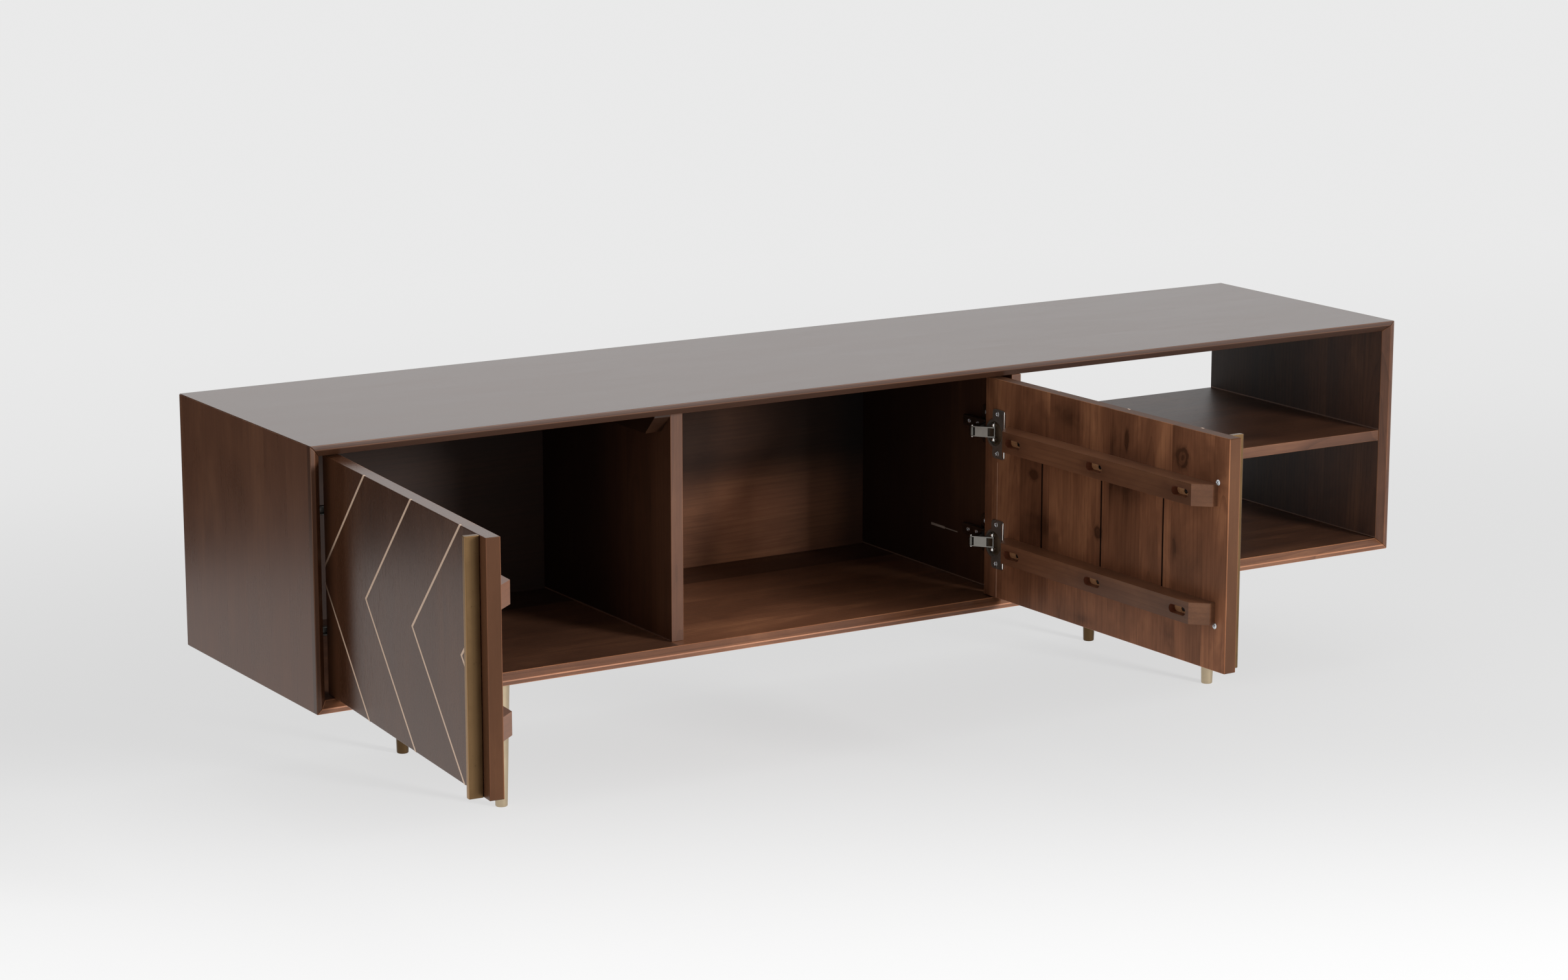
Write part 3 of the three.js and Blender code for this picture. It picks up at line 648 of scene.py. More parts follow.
def brushed(name, colour, roughness, grain, patina, leaf=None, metallic=1.0, polish_and_highlight=None):
    """Metal brushed upwards: noise drawn out along Z, over slow patina.

    It is brighter past a place that `polish_and_highlight` gives as (from, to, factor) along Y:
    polish from handling, and a painted highlight.
    """

    def make(r):
        x, y, z = r.place(leaf)
        where = r.vector(z, x, y)
        line = r.noise(r.vector(z * 14.0, x * 2600.0, y * 2600.0), 1.0, 3.0, 0.6)
        cloud = r.noise(where, 26.0, 4.0, 0.6, 0.5)
        spot = r.noise(where, 240.0, 2.0).between(0.66, 0.78)
        level = (line - 0.5) * grain * 3 + (cloud - 0.5) * patina * 1.6 + 0.5
        tint = r.ramp(level, (0.0, scaled(colour, 0.62)), (0.5, colour),
                      (1.0, scaled(colour, 1.28)))
        tint = r.mix(spot * patina, tint, scaled(colour, 0.45))
        if polish_and_highlight:
            start, end, factor = polish_and_highlight
            tint = r.mix(y.between(start, end), tint, scaled(colour, factor))
        gloss = roughness + (line - 0.5) * grain + (cloud - 0.5) * 0.16 + spot * 0.15
        r.surface(Base_Color=tint, Metallic=metallic, Roughness=gloss,
                  Normal=r.bump(line, 0.02 * MM, 0.5))

    return finish(name, make)


def plated(name, colour, roughness, leaf=None, mouth=None):
    """Bright plating with faint smudges and fine pits, and painted shade below a cup's mouth:
    darker, rougher and less metallic.
    """

    def make(r):
        place = r.place(leaf)
        where = r.vector(*place)
        smudge = r.noise(where, 70.0, 4.0, 0.6)
        pit = r.noise(where, 900.0, 2.0)
        tint = r.ramp(smudge, (0.25, scaled(colour, 0.8)), (0.7, colour))
        gloss = (smudge - 0.5) * 0.2 + (pit - 0.5) * 0.06 + roughness
        metal = 1.0
        if mouth is not None:
            inside = (mouth - place[1]).between(0.0, 4 * MM)
            # Painted shade deep inside the cup
            cup_shade = linear(112, 92, 72)
            tint = r.mix(inside, tint, cup_shade)
            gloss = gloss + inside * 0.15
            metal = 0.85 - inside * 0.6
        r.surface(Base_Color=tint, Metallic=metal, Roughness=gloss,
                  Normal=r.bump(pit, 0.01 * MM, 0.4))

    return finish(name, make)


def powder_coat(name, colour):
    """Matt powder coating with an orange-peel skin."""

    def make(r):
        where = r.vector(*r.place())
        peel = r.noise(where, 1400.0, 2.0)
        dust = r.noise(where, 60.0, 4.0, 0.65)
        tint = r.ramp(dust, (0.3, colour), (0.8, scaled(colour, 1.9)))
        r.surface(Base_Color=tint, Roughness=0.5 + (dust - 0.5) * 0.2,
                  Normal=r.bump(peel, 0.05 * MM, 0.7))

    return finish(name, make)


def board_finishes(tag, axes, rubbed=0.2, **look):
    """The face finish, and the arris finish with its painted highlight and wear, of one piece of
    timber.
    """
    return (timber(f"timber_{tag}", axes, **look),
            timber(f"timber_{tag}_arris", axes, rubbed=rubbed, **look))


def joint_highlight(z, low, high, axis="y"):
    """The pale line, a painted highlight, where an upright meets a board at height z."""
    return ("z", z + 1 * MM, 0.9 * MM, linear(150, 120, 104), 0.6, axis, low, high)


# --------------------------------------------------------------------------------------------
# Settings

def colour_property(name, description, default):
    """A colour as three numbers from 0 to 255, as it is read off a screen."""
    return FloatVectorProperty(name=name, description=description, default=default, size=3,
                               min=0, max=255)


def number_property(name, description, default, least=0.0, **options):
    """A number that is no less than `least`."""
    return FloatProperty(name=name, description=description, default=default, min=least,
                         **options)


def length_property(name, description, default, least=0.0):
    """A length in metres, shown in the scene's units."""
    return number_property(name, description, default, least, subtype="DISTANCE", unit="LENGTH")


class CabinetTimber(bpy.types.PropertyGroup):
    """The wood and its lacquer."""
    dark: colour_property("Dark stain", "Latewood, pores and knots", (44, 25, 15))
    middle: colour_property("Stain", "The usual colour of the stained face", (84, 53, 36))
    light: colour_property("Light stain", "Earlywood and bright fibres", (124, 84, 58))
    figure: number_property("Figure", "Growth rings to a metre from the pith", 140.0, 1.0)
    contrast: number_property("Ring contrast", "How far rings change the tone", 0.16, max=1.0,
                              subtype="FACTOR")
    fibre: number_property("Fibre contrast", "How far fibres change the tone", 0.35, max=2.0)
    arris: length_property("Arris radius", "Rounding of the boards' edges", 0.9 * MM)
    batten_arris: length_property("Batten rounding", "Rounding of the battens", 1.6 * MM)


class CabinetMetal(bpy.types.PropertyGroup):
    """Brass, plating and coating."""
    brass: colour_property("Antique brass", "Pulls and rear legs", (105, 82, 56))
    inlay: colour_property("Pale brass", "The chevron strips", (228, 196, 170))
    # The front legs' brass is painted light, as lit; the rear legs take the antique brass painted
    # darker, as shaded
    leg: colour_property("Leg brass", "The two front legs", (190, 172, 144))
    nickel: colour_property("Nickel", "Hinges", (170, 167, 160))
    zinc: colour_property("Zinc", "Screws", (222, 226, 230))
    coating: colour_property("Coating", "The plates over the legs", (26, 25, 24))
    pull_radius: length_property("Pull rounding", "Rounding of the pull bars", 1.2 * MM)
    screw_diameter: length_property("Screw head", "Diameter of a screw's head", 7.6 * MM, MM)
    leg_sectors: IntProperty(name="Leg sectors", description="Flats round a leg", default=96,
                             min=12, max=256)


class CabinetStage(bpy.types.PropertyGroup):
    """Floor, lamps and camera."""
    floor: colour_property("Floor", "Colour of the floor", (243, 243, 243))
    dome: number_property("Dome", "Strength of the even light all round", 0.5)
    key: number_property("Key", "Power of the large lamp at the front right", 270.0,
                         unit="POWER")
    overhead: number_property("Overhead", "Power of the lamp above", 15.0, unit="POWER")
    lens: number_property("Lens", "Focal length on a 36 mm sensor", 86.967, 10.0,
                          unit="CAMERA")
    eye: FloatVectorProperty(name="Eye", description="Where the camera stands", size=3,
                             default=(-2.70055, -4.05209, 1.42920), subtype="TRANSLATION",
                             unit="LENGTH")
    pitch: number_property("Pitch", "How far the camera looks down", math.radians(12.296),
                           -math.pi / 2, subtype="ANGLE", unit="ROTATION")
    bearing: number_property("Bearing", "How far the camera looks to the right",
                             math.radians(31.776), -math.pi, subtype="ANGLE", unit="ROTATION")


# --------------------------------------------------------------------------------------------
# Pieces

class CABINET_OT_boards(bpy.types.Operator):
    """Finishes the four mitred outer boards"""
    bl_idname = "cabinet.boards"
    bl_label = "Outer Boards"

    def execute(self, context):
        arris = context.scene.cabinet_timber.arris
        low, high = box_of("bottom_board")
        front, back = low[1], high[1]
        top = box_of("top_board")[1][2]
        bay = box_of("partition")[1][0]
        wall = box_of("divider")[0][0]
        base = box_of("divider")[0][2]
        lining = box_of("right_side")[0][0]
        shelf_low, shelf_high = box_of("shelf")

        # Limits: the front edge, rough with wear, past the bevel behind it, and the inner face of
        # the end
        edge = ("y", front + 1.6 * MM, front + 0.8 * MM, 1.0, 0.25)
        face = front + 10 * MM
        behind = ("y", face - MM, face)
        inside = ("x", lining + 12 * MM, lining + 11 * MM)
        joints = [joint_highlight(z, shelf_low[1], shelf_high[1])
                  for z in (base, shelf_low[2] - 1.6 * MM, shelf_high[2])]
        look = {
            "top_board": ("xyz", 0.66, {
                "seed": 1.3, "life": 0.08, "blotch": 0.14, "gloss": 0.2, "ior": 1.44,
                "rubbed": 0.6,
                "steps": [edge, (*behind, 1.15, 0.0),
                          ("x", low[0], high[0], 0.8, 0.03),
                          ("z", top - 3 * MM, top - 4 * MM, 0.8, 0.2)]}),
            "bottom_board": ("xyz", 1.6, {
                "seed": 4.6, "ior": 1.38, "stave": 0.1, "life": 0.9, "blotch": 0.7,
                "rubbed": 0.9,
                "steps": [edge, (*behind, 1.15, 0.15),
                          ("y", face, back - 110 * MM, 0.95, 0.0),
                          ("y", back - 108 * MM, back - 106 * MM, 0.5, 0.1),
                          ("x", wall, high[0] - 100 * MM, 0.8, 0.0),
                          # Painted light and shade by bay: the left bay darker, the middle one
                          # lighter and darker again towards its end, and the open bay darker
                          # still
                          ("x", wall, wall - MM, 0.52, 0.1, behind),
                          ("x", wall - MM, wall, 1.4, 0.0, behind),
                          ("x", bay - 300 * MM, bay - 40 * MM, 0.5, 0.0, behind),
                          ("x", bay - MM, bay, 0.74, 0.05, behind)]}),
            "left_side": ("zyx", 0.7, {
                "seed": 2.2, "life": 0.2, "blotch": 0.35, "gloss": 0.28,
                "warmth": (1.0, 0.8, 0.7),
                "steps": [edge, (*behind, 1.85, 0.0)]}),
            "right_side": ("zyx", 0.85, {
                "seed": 7.9, "stave": 0.08, "life": 0.9, "blotch": 0.9, "ior": 1.42,
                "lines": joints, "within": inside,
                "steps": [edge, (*behind, 0.9, 0.0), (*inside, 1.2, 0.3),
                          # Painted shade: the inner face darker deeper in
                          ("y", face + 70 * MM, back - 120 * MM, 0.3, 0.1, inside)]}),
        }
        for node, (axes, tone, details) in look.items():
            eased_copy(node, arris, 3, "carcass", "wood",
                       board_finishes(node, axes, tone=tone, **details))
        return {"FINISHED"}


class CABINET_OT_interior(bpy.types.Operator):
    """Finishes the divider, partition, shelf, back panel and cleat"""
    bl_idname = "cabinet.interior"
    bl_label = "Interior"

    def execute(self, context):
        arris = context.scene.cabinet_timber.arris
        low, high = box_of("divider")
        front, deep, base = low[1], high[1], low[2]
        part_low, part_high = box_of("partition")
        back_low, back_high = box_of("back_panel")

        # Limits: the panel's inner face, its middle bay, and the partition's face to the doors
        panel = (back_low[1] + back_high[1]) / 2
        inside = ("y", panel + MM, panel - MM)
        bay = ("x", low[0], low[0] + 5 * MM)
        halfway = (part_low[0] + part_high[0]) / 2
        nearer = ("x", halfway + MM, halfway - MM)
        tread = ("y", front - 18 * MM, front - 17 * MM)

        right, far = part_low[0], part_high[1]
        reach = far - part_low[1]
        scratch = linear(165, 152, 140)
        scratches = [("z", base + 63 * MM, half * MM, scratch, 0.8,
                      "y", far - start * reach, far - end * reach)
                     for half, start, end in ((1.7, 0.6, 0.51), (0.7, 0.68, 0.54))]
        look = {
            "divider": ("zyx", "wood_inside", 1.0, {
                "seed": 3.1, "gloss": 0.5, "lines": [joint_highlight(base, front + 3 * MM, deep)],
                "steps": [("y", front + 1 * MM, front + 2 * MM, 0.8, 0.0),
                          # Painted shade: darker deeper in
                          ("y", front + 20 * MM, deep - 120 * MM, 0.2, 0.1)]}),
            "partition": ("zyx", "wood_edge", 0.95, {
                "seed": 5.4, "gloss": 0.5, "stave": 0.075, "within": nearer,
                "lines": [joint_highlight(base, front, deep), *scratches],
                "steps": [(*tread, 0.65, 0.0),
                          # Painted shade: darker deeper in
                          ("y", front, deep - 120 * MM, 0.35, 0.1)]}),
            "shelf": ("xyz", "wood_edge", 1.0, {
                "seed": 6.2, "gloss": 0.42, "stave": 0.075, "life": 0.8, "blotch": 0.7,
                "steps": [(*tread, 0.9, 0.0),
                          # Painted shade: darker deeper in
                          ("y", front + 102 * MM, deep - 60 * MM, 0.5, 0.0)]}),
            "back_panel": ("xzy", "wood_inside", 1.2, {
                "seed": 2.8, "gloss": 0.6, "stave": 0.4, "blotch": 0.5, "life": 0.4,
                "within": inside,
                "lines": [joint_highlight(back_low[2], back_low[0], back_high[0], "x")],
                "steps": [(*inside, 3.4, 0.0),
                          # Painted shade: the left bay, then the middle one, darker to its right
                          # and upwards
                          ("x", low[0] + 5 * MM, low[0], 0.085, 0.1, inside),
                          ("x", right - 225 * MM, right - 265 * MM, 0.6, 0.0, inside),
                          ("x", right - 205 * MM, right - 70 * MM, 0.4, 0.0, inside),
                          ("x", right - 70 * MM, right - 15 * MM, 0.35, 0.0, inside),
                          ("z", back_low[2] + 75 * MM, back_low[2] + 155 * MM, 0.12, 0.2,
                           inside, bay)]}),
            # The cleat's low tone is painted shade under the top
            "top_cleat": ("yzx", "wood_inside", 0.22, {"seed": 9.7, "gloss": 0.3}),
        }
        for node, (axes, slot, tone, details) in look.items():
            eased_copy(node, arris * 0.8, 2, "carcass", slot,
                       board_finishes(node, axes, tone=tone, ior=1.35, **details))
        return {"FINISHED"}


class CABINET_OT_doors(bpy.types.Operator):
    """Finishes the two door leaves and their battens"""
    bl_idname = "cabinet.doors"
    bl_label = "Doors and Battens"

    # As millimetres from the hinge edge and from the bottom, half width and half length
    KNOTS = ((109, 185, 8, 6), (416, 261, 10, 12), (304, 265, 3.5, 11), (248, 133, 7, 7))
    STAINS = ((221, 10, 22, 8), (395, 28, 12, 22), (404, 140, 9, 26), (480, 262, 26, 34),
              (300, 200, 30, 16), (130, 120, 40, 20), (180, 275, 34, 18))

    # What differs between the doors: the seed, how far the arris is painted lighter as a
    # highlight and wear, how far the battens fade towards their free ends, and the tone of the
    # free edge
    WEAR = {"left": (2.9, 0.0, 1.15, 0.98), "right": (5.1, 0.15, 0.75, 0.8)}

    def execute(self, context):
        wood = context.scene.cabinet_timber
        for side, (seed, rubbed, fading, end) in self.WEAR.items():
            leaf = LEAVES[side]
            faces = board_finishes(f"door_{side}", "zxy", leaf=leaf, seed=seed, tone=0.72,
                                   stave=leaf.width / 8, life=0.66, blotch=1.25, gloss=0.23,
                                   ior=1.44, warmth=(1.0, 0.54, 0.33), rubbed=rubbed,
                                   **self.marks(leaf, end))
            eased_copy(f"door_{side}", wood.arris, 3, leaf.body, "wood", faces,
                       outer_only=leaf.shut)
            slots = self.pockets(side, leaf)
            places, heights, _ = slots
            # Darker patches round the pockets
            pocket_patches = [(z, x, 9 * MM, 24 * MM) for x in places for z in heights]
            rails = board_finishes(f"batten_{side}", "xzy", leaf=leaf, seed=seed + 4, tone=1.42,
                                   stave=0.5, life=0.4, blotch=0.6, gloss=0.36, stains=pocket_patches,
                                   steps=[("x", places[0], places[2], fading, 0.0)],
                                   warmth=(1.0, 0.8, 0.66), slots=slots)
            for level in LEVELS:
                eased_copy(f"batten_{side}_{level}", wood.batten_arris, 3, leaf.body,
                           "wood_edge", rails)
        return {"FINISHED"}

    def marks(self, leaf, end_tone):
        """The back's tone, painted light and shade on both faces, its knots and stains, its
        kerfs, and the joint by the hinges.
        """
        top, bottom = leaf.high[2], leaf.low[2]

        def spots(rows):
            return [(leaf.along(u * MM), bottom + z * MM, radius * MM, length * MM)
                    for u, z, radius, length in rows]

        black, glue = linear(18, 9, 6), linear(206, 164, 142)
        lines = [("x", leaf.along(leaf.width * k / 4), 1.7 * MM, black, 0.95,
                  "z", bottom + 84 * MM, top - 84 * MM) for k in (1, 2, 3)]
        strip = leaf.along(28 * MM)
        lines.append(("x", strip, 0.6 * MM, glue, 0.6, "z", bottom, bottom + 188 * MM))

        # Limits: the two faces, and what lies past the pull bar or at the free edge
        inner = ("y", leaf.high[1] - 1.3 * MM, leaf.high[1] - 0.7 * MM)
        outer = ("y", leaf.low[1] + 1.3 * MM, leaf.low[1] + 0.7 * MM)
        bar = [leaf.along(leaf.width - inset * MM) for inset in (16.4, 15.6)]
        end = [leaf.along(leaf.width - inset * MM) for inset in (1.4, 0.6)]
        steps = [(*inner, 2.6, 0.12),
                 ("x", leaf.along(29 * MM), leaf.along(27 * MM), 0.85, 0.0, inner),
                 ("x", leaf.along(leaf.width * 0.45), leaf.along(leaf.width * 0.9), 1.2, 0.05,
                  inner),
                 # Painted light: the back lighter low down, as the bright floor reflects there
                 ("z", bottom + 120 * MM, bottom + 70 * MM, 1.25, 0.06, inner),
                 # Painted light: the face past the pull bar, in the bar's shadow, made lighter
                 ("x", *bar, 1.7, 0.15, outer),
                 # Painted reflection of the carcass side: the face near the hinge edge lighter
                 # and duller
                 ("x", leaf.along(60 * MM), leaf.along(20 * MM), 1.5, 0.1, outer),
                 ("x", *end, end_tone, 0.25)]
        if leaf.hand < 0:
            # The top edge painted darker, as shade, and duller
            steps.append(("z", top - 1.6 * MM, top - 1.0 * MM, 0.7, 0.35))
        return {"knots": spots(self.KNOTS), "stains": spots(self.STAINS), "lines": lines,
                "within": ("y", leaf.high[1] - 2.2 * MM, leaf.high[1] - 1.7 * MM),
                "steps": steps}

    def pockets(self, side, leaf):
        """The pockets' places across and up the shut door, and the place of their mouths."""
        battens = list(at_levels("batten", side, leaf.node_box))
        low, high, _ = battens[0]
        return ([leaf.along(u) for u in across_batten(low, high)],
                [leaf.low[2] + middle for _, _, middle in battens], leaf.low[1] + high[1])


def across_batten(low, high):
    """How far from the hinge edge a batten's three pockets lie."""
    return low[0] + POCKET_INSET, (low[0] + high[0]) / 2, high[0] - POCKET_INSET


class CABINET_OT_brass(bpy.types.Operator):
    """Makes the pull bars and finishes the inlaid chevrons"""
    bl_idname = "cabinet.brass"
    bl_label = "Pulls and Inlay"

    def execute(self, context):
        metal = context.scene.cabinet_metal
        for side, leaf in LEAVES.items():
            self.make_pull(side, leaf, metal)
            strip = brushed(f"inlay_brass_{side}", linear(*metal.inlay), roughness=0.4,
                            grain=0.12, patina=0.15, leaf=leaf, metallic=0.2)
            for number in CHEVRONS:
                frame["nodes"][f"inlay_{side}_{number}"].data.materials[0] = strip
        return {"FINISHED"}

    def make_pull(self, side, leaf, metal):
        """A bar: a filleted rectangle carried up the door, drawn in at both ends.

        With f the size of that draw, the plan is inset by f (1 - sin t) at f (1 - cos t) from
        the end, t over a quarter circle.
        """
        low, high = leaf.node_box(f"pull_{side}")
        draw = metal.pull_radius * 0.6
        turn = np.linspace(0, math.pi / 2, 5)
        inset = draw * (1 - np.sin(turn))
        rise = draw * (1 - np.cos(turn))
        insets = np.concatenate([inset, inset[::-1]])
        levels = np.concatenate([low[2] + rise, high[2] - rise[::-1]])
        middle = (low[:2] + high[:2]) / 2
        grown = 1 - insets[:, None] / ((high[:2] - low[:2]) / 2)
        outline = rounded_bar(low[:2], high[:2], metal.pull_radius)
        plans = middle + (outline - middle)[None] * grown[:, None]

        face = leaf.low[1] + low[1]
        # The bar's outer face is brighter: polish from handling, and a painted highlight
        bar = brushed(f"antique_brass_{side}", linear(*metal.brass), roughness=0.34, grain=0.12,
                      patina=0.45, leaf=leaf, polish_and_highlight=(face + 0.9 * MM, face + 0.1 * MM, 2.4))
        name = f"pull_{side}_bar"
        piece = make_piece(name, make_mesh(name, *loft_on(leaf, plans, levels)), leaf.body,
                           "brass", (bar,), (f"pull_{side}",))
        keep_flats(piece)


def keep_flats(piece):
    """Lets the large faces of a smooth piece set the shading, so that flats stay flat."""
    piece.modifiers.new("Flat faces", "WEIGHTED_NORMAL").keep_sharp = True


class CABINET_OT_legs(bpy.types.Operator):
    """Makes the four tapered legs and finishes the plates over them"""
    bl_idname = "cabinet.legs"
    bl_label = "Legs"

    FOOT_SHARE = 8 / 13  # The foot's radius as a share of the head's
    FOOT_FILLET = 1.4 * MM
    HEAD_CHAMFER = 0.4 * MM

    def execute(self, context):
        metal = context.scene.cabinet_metal
        # Painted light and shade: the front legs pale, as lit, and the rear legs a darker copy,
        # as shaded
        shaded_brass = scaled(linear(*metal.brass), 0.75)
        pale = brushed("pale_leg_brass", linear(*metal.leg), roughness=0.32, grain=0.1,
                       patina=0.3)
        dark = brushed("dark_leg_brass", shaded_brass, roughness=0.32, grain=0.1, patina=0.4)
        coat = powder_coat("black_coating", linear(*metal.coating))
        for corner in CORNERS:
            low, high = box_of(f"leg_{corner}")
            vertices, faces = lathed(self.profile(low, high), metal.leg_sectors)
            vertices = vertices + [*(low + high)[:2] / 2, low[2]]
            name = f"leg_{corner}_turned"
            piece = make_piece(name, make_mesh(name, vertices, faces), "carcass", "brass",
                               (pale if "front" in corner else dark,), (f"leg_{corner}",))
            keep_flats(piece)
            eased_copy(f"leg_plate_{corner}", 0.4 * MM, 2, "carcass", "black_steel", (coat,))
        return {"FINISHED"}

    def profile(self, low, high):
        """(radius, height) up a leg: a rounded foot, a straight taper and an eased head."""
        height = high[2] - low[2]
        head = (high[0] - low[0]) / 2
        foot = head * self.FOOT_SHARE
        share = np.linspace(0.02, 1, 24)[:-1, None]
        taper = share * [head - foot, height - self.FOOT_FILLET] + [foot, self.FOOT_FILLET]
        return np.concatenate([[[foot * 0.5, 0.0]], rounded_rim(foot, self.FOOT_FILLET, 6), taper,
                               [[head, height - self.HEAD_CHAMFER],
                                [head - self.HEAD_CHAMFER, height]]])


class CABINET_OT_hinges(bpy.types.Operator):
    """Finishes the cups, links, arms and plates of the four hinges"""
    bl_idname = "cabinet.hinges"
    bl_label = "Hinges"

    PAIRS = [(0, 0, 1), (0, 0, -1)] * len(LEVELS)  # The ways that a hinge's paired bodies face

    def execute(self, context):
        colour = linear(*context.scene.cabinet_metal.nickel)
        # One nickel in painted shades: full for lips, pins and barrels, darker for the cups,
        # darker still for the links, darkest for the arms and plates deep in the carcass
        bright = plated("nickel", colour, roughness=0.2)
        deep_shade_nickel = plated("dull_nickel", scaled(colour, 0.35), roughness=0.3)
        half_shade_nickel = plated("worn_nickel", scaled(colour, 0.58), roughness=0.3)
        for side, leaf in LEAVES.items():
            cup = plated(f"cup_nickel_{side}", scaled(colour, 0.72), roughness=0.34, leaf=leaf,
                         mouth=leaf.high[1])
            for level in LEVELS:
                for part, body, ease, plating in (("cup", leaf.body, 0.3, cup),
                                                  ("arm", "carcass", 0.5, deep_shade_nickel),
                                                  ("link", f"links_{side}", 0.35, half_shade_nickel),
                                                  ("plate", "carcass", 0.4, deep_shade_nickel)):
                    eased_copy(f"hinge_{part}_{side}_{level}", ease * MM, 2, body, "nickel",
                               (plating,))
            self.add_lips(side, leaf, bright)
            self.add_pin_heads(side, bright)
            self.add_barrels(side, leaf, bright)
        return {"FINISHED"}

    def add_lips(self, side, leaf, plating):
        """The turned-up lip of each flange: a filleted bar along its far edge.

        Towards its ends, t over a quarter circle, the plan shrinks with sin t and the steps
        between the plans with 1 - cos t.
        """
        width, depth, fillet, taper = 3.6 * MM, 2.4 * MM, 1.1 * MM, 3.5 * MM
        proud, inset, smallest = 0.9 * MM, 1 * MM, 0.15
        t = np.linspace(0, 1, 5) * math.pi / 2
        ends = taper * (1 - np.cos(t))
        share = np.concatenate([np.sin(t), np.sin(t)[::-1]])[:, None, None]
        bodies = []
        for low, high, _ in at_levels("hinge_cup", side, leaf.node_box):
            top = high[1] + proud
            plan = rounded_bar((high[0] - width, top - depth), (high[0], top), fillet)
            levels = np.concatenate([low[2] + inset + ends, high[2] - inset - ends[::-1]])
            middle = plan.mean(axis=0) - [0, 1 * MM]
            plans = middle + (plan - middle)[None] * (smallest + (1 - smallest) * share)
            bodies.append(loft_on(leaf, plans, levels))
        name = f"flange_lips_{side}"
        make_piece(name, make_mesh(name, *joined(bodies)), leaf.body, "nickel", (plating,))

    def add_barrels(self, side, leaf, plating):
        """The spring barrels at both sides of each link's end in the cup."""
        radius, length, hole, fillet = 3.6 * MM, 4.6 * MM, 0.2 * MM, 1.4 * MM
        inset, sunk = 15.4 * MM, 2.4 * MM
        nose = rounded_rim(radius, fillet, 5)
        profile = np.concatenate([[[hole, 0.0]], nose, nose[::-1] * [1, -1] + [0, length],
                                  [[hole, length]]])
        places = [(inset, leaf.thickness - sunk, middle + way * LINK_SIDE)
                  for _, _, middle in at_levels("hinge_cup", side, leaf.node_box)
                  for way in (1, -1)]
        make_copies(f"spring_barrels_{side}", lathed(profile, 32), leaf.places(places),
                    leaf.directions(self.PAIRS), np.zeros(len(places)), leaf.body, plating)

    def add_pin_heads(self, side, plating):
        """The riveted heads of the pins that join the links to the arms."""
        joint = next(j for j in frame["joints"] if j["child"] == f"links_{side}")
        radius, height, foot, tip = 2.2 * MM, 1.3 * MM, 0.6 * MM, 0.1 * MM
        t = np.linspace(0, math.pi / 2, 6)[:-1]
        dome = np.stack([radius * np.cos(t), height * np.sin(t)], 1)
        profile = np.concatenate([[[radius, -foot]], dome, [[tip, height]]])
        x, y = joint["pos_m"][:2]
        places = [(x, y, middle + way * LINK_SIDE)
                  for _, _, middle in at_levels("hinge_link", side) for way in (1, -1)]
        make_copies(f"pin_heads_{side}", lathed(profile, 24), places, self.PAIRS,
                    np.zeros(len(places)), "carcass", plating)


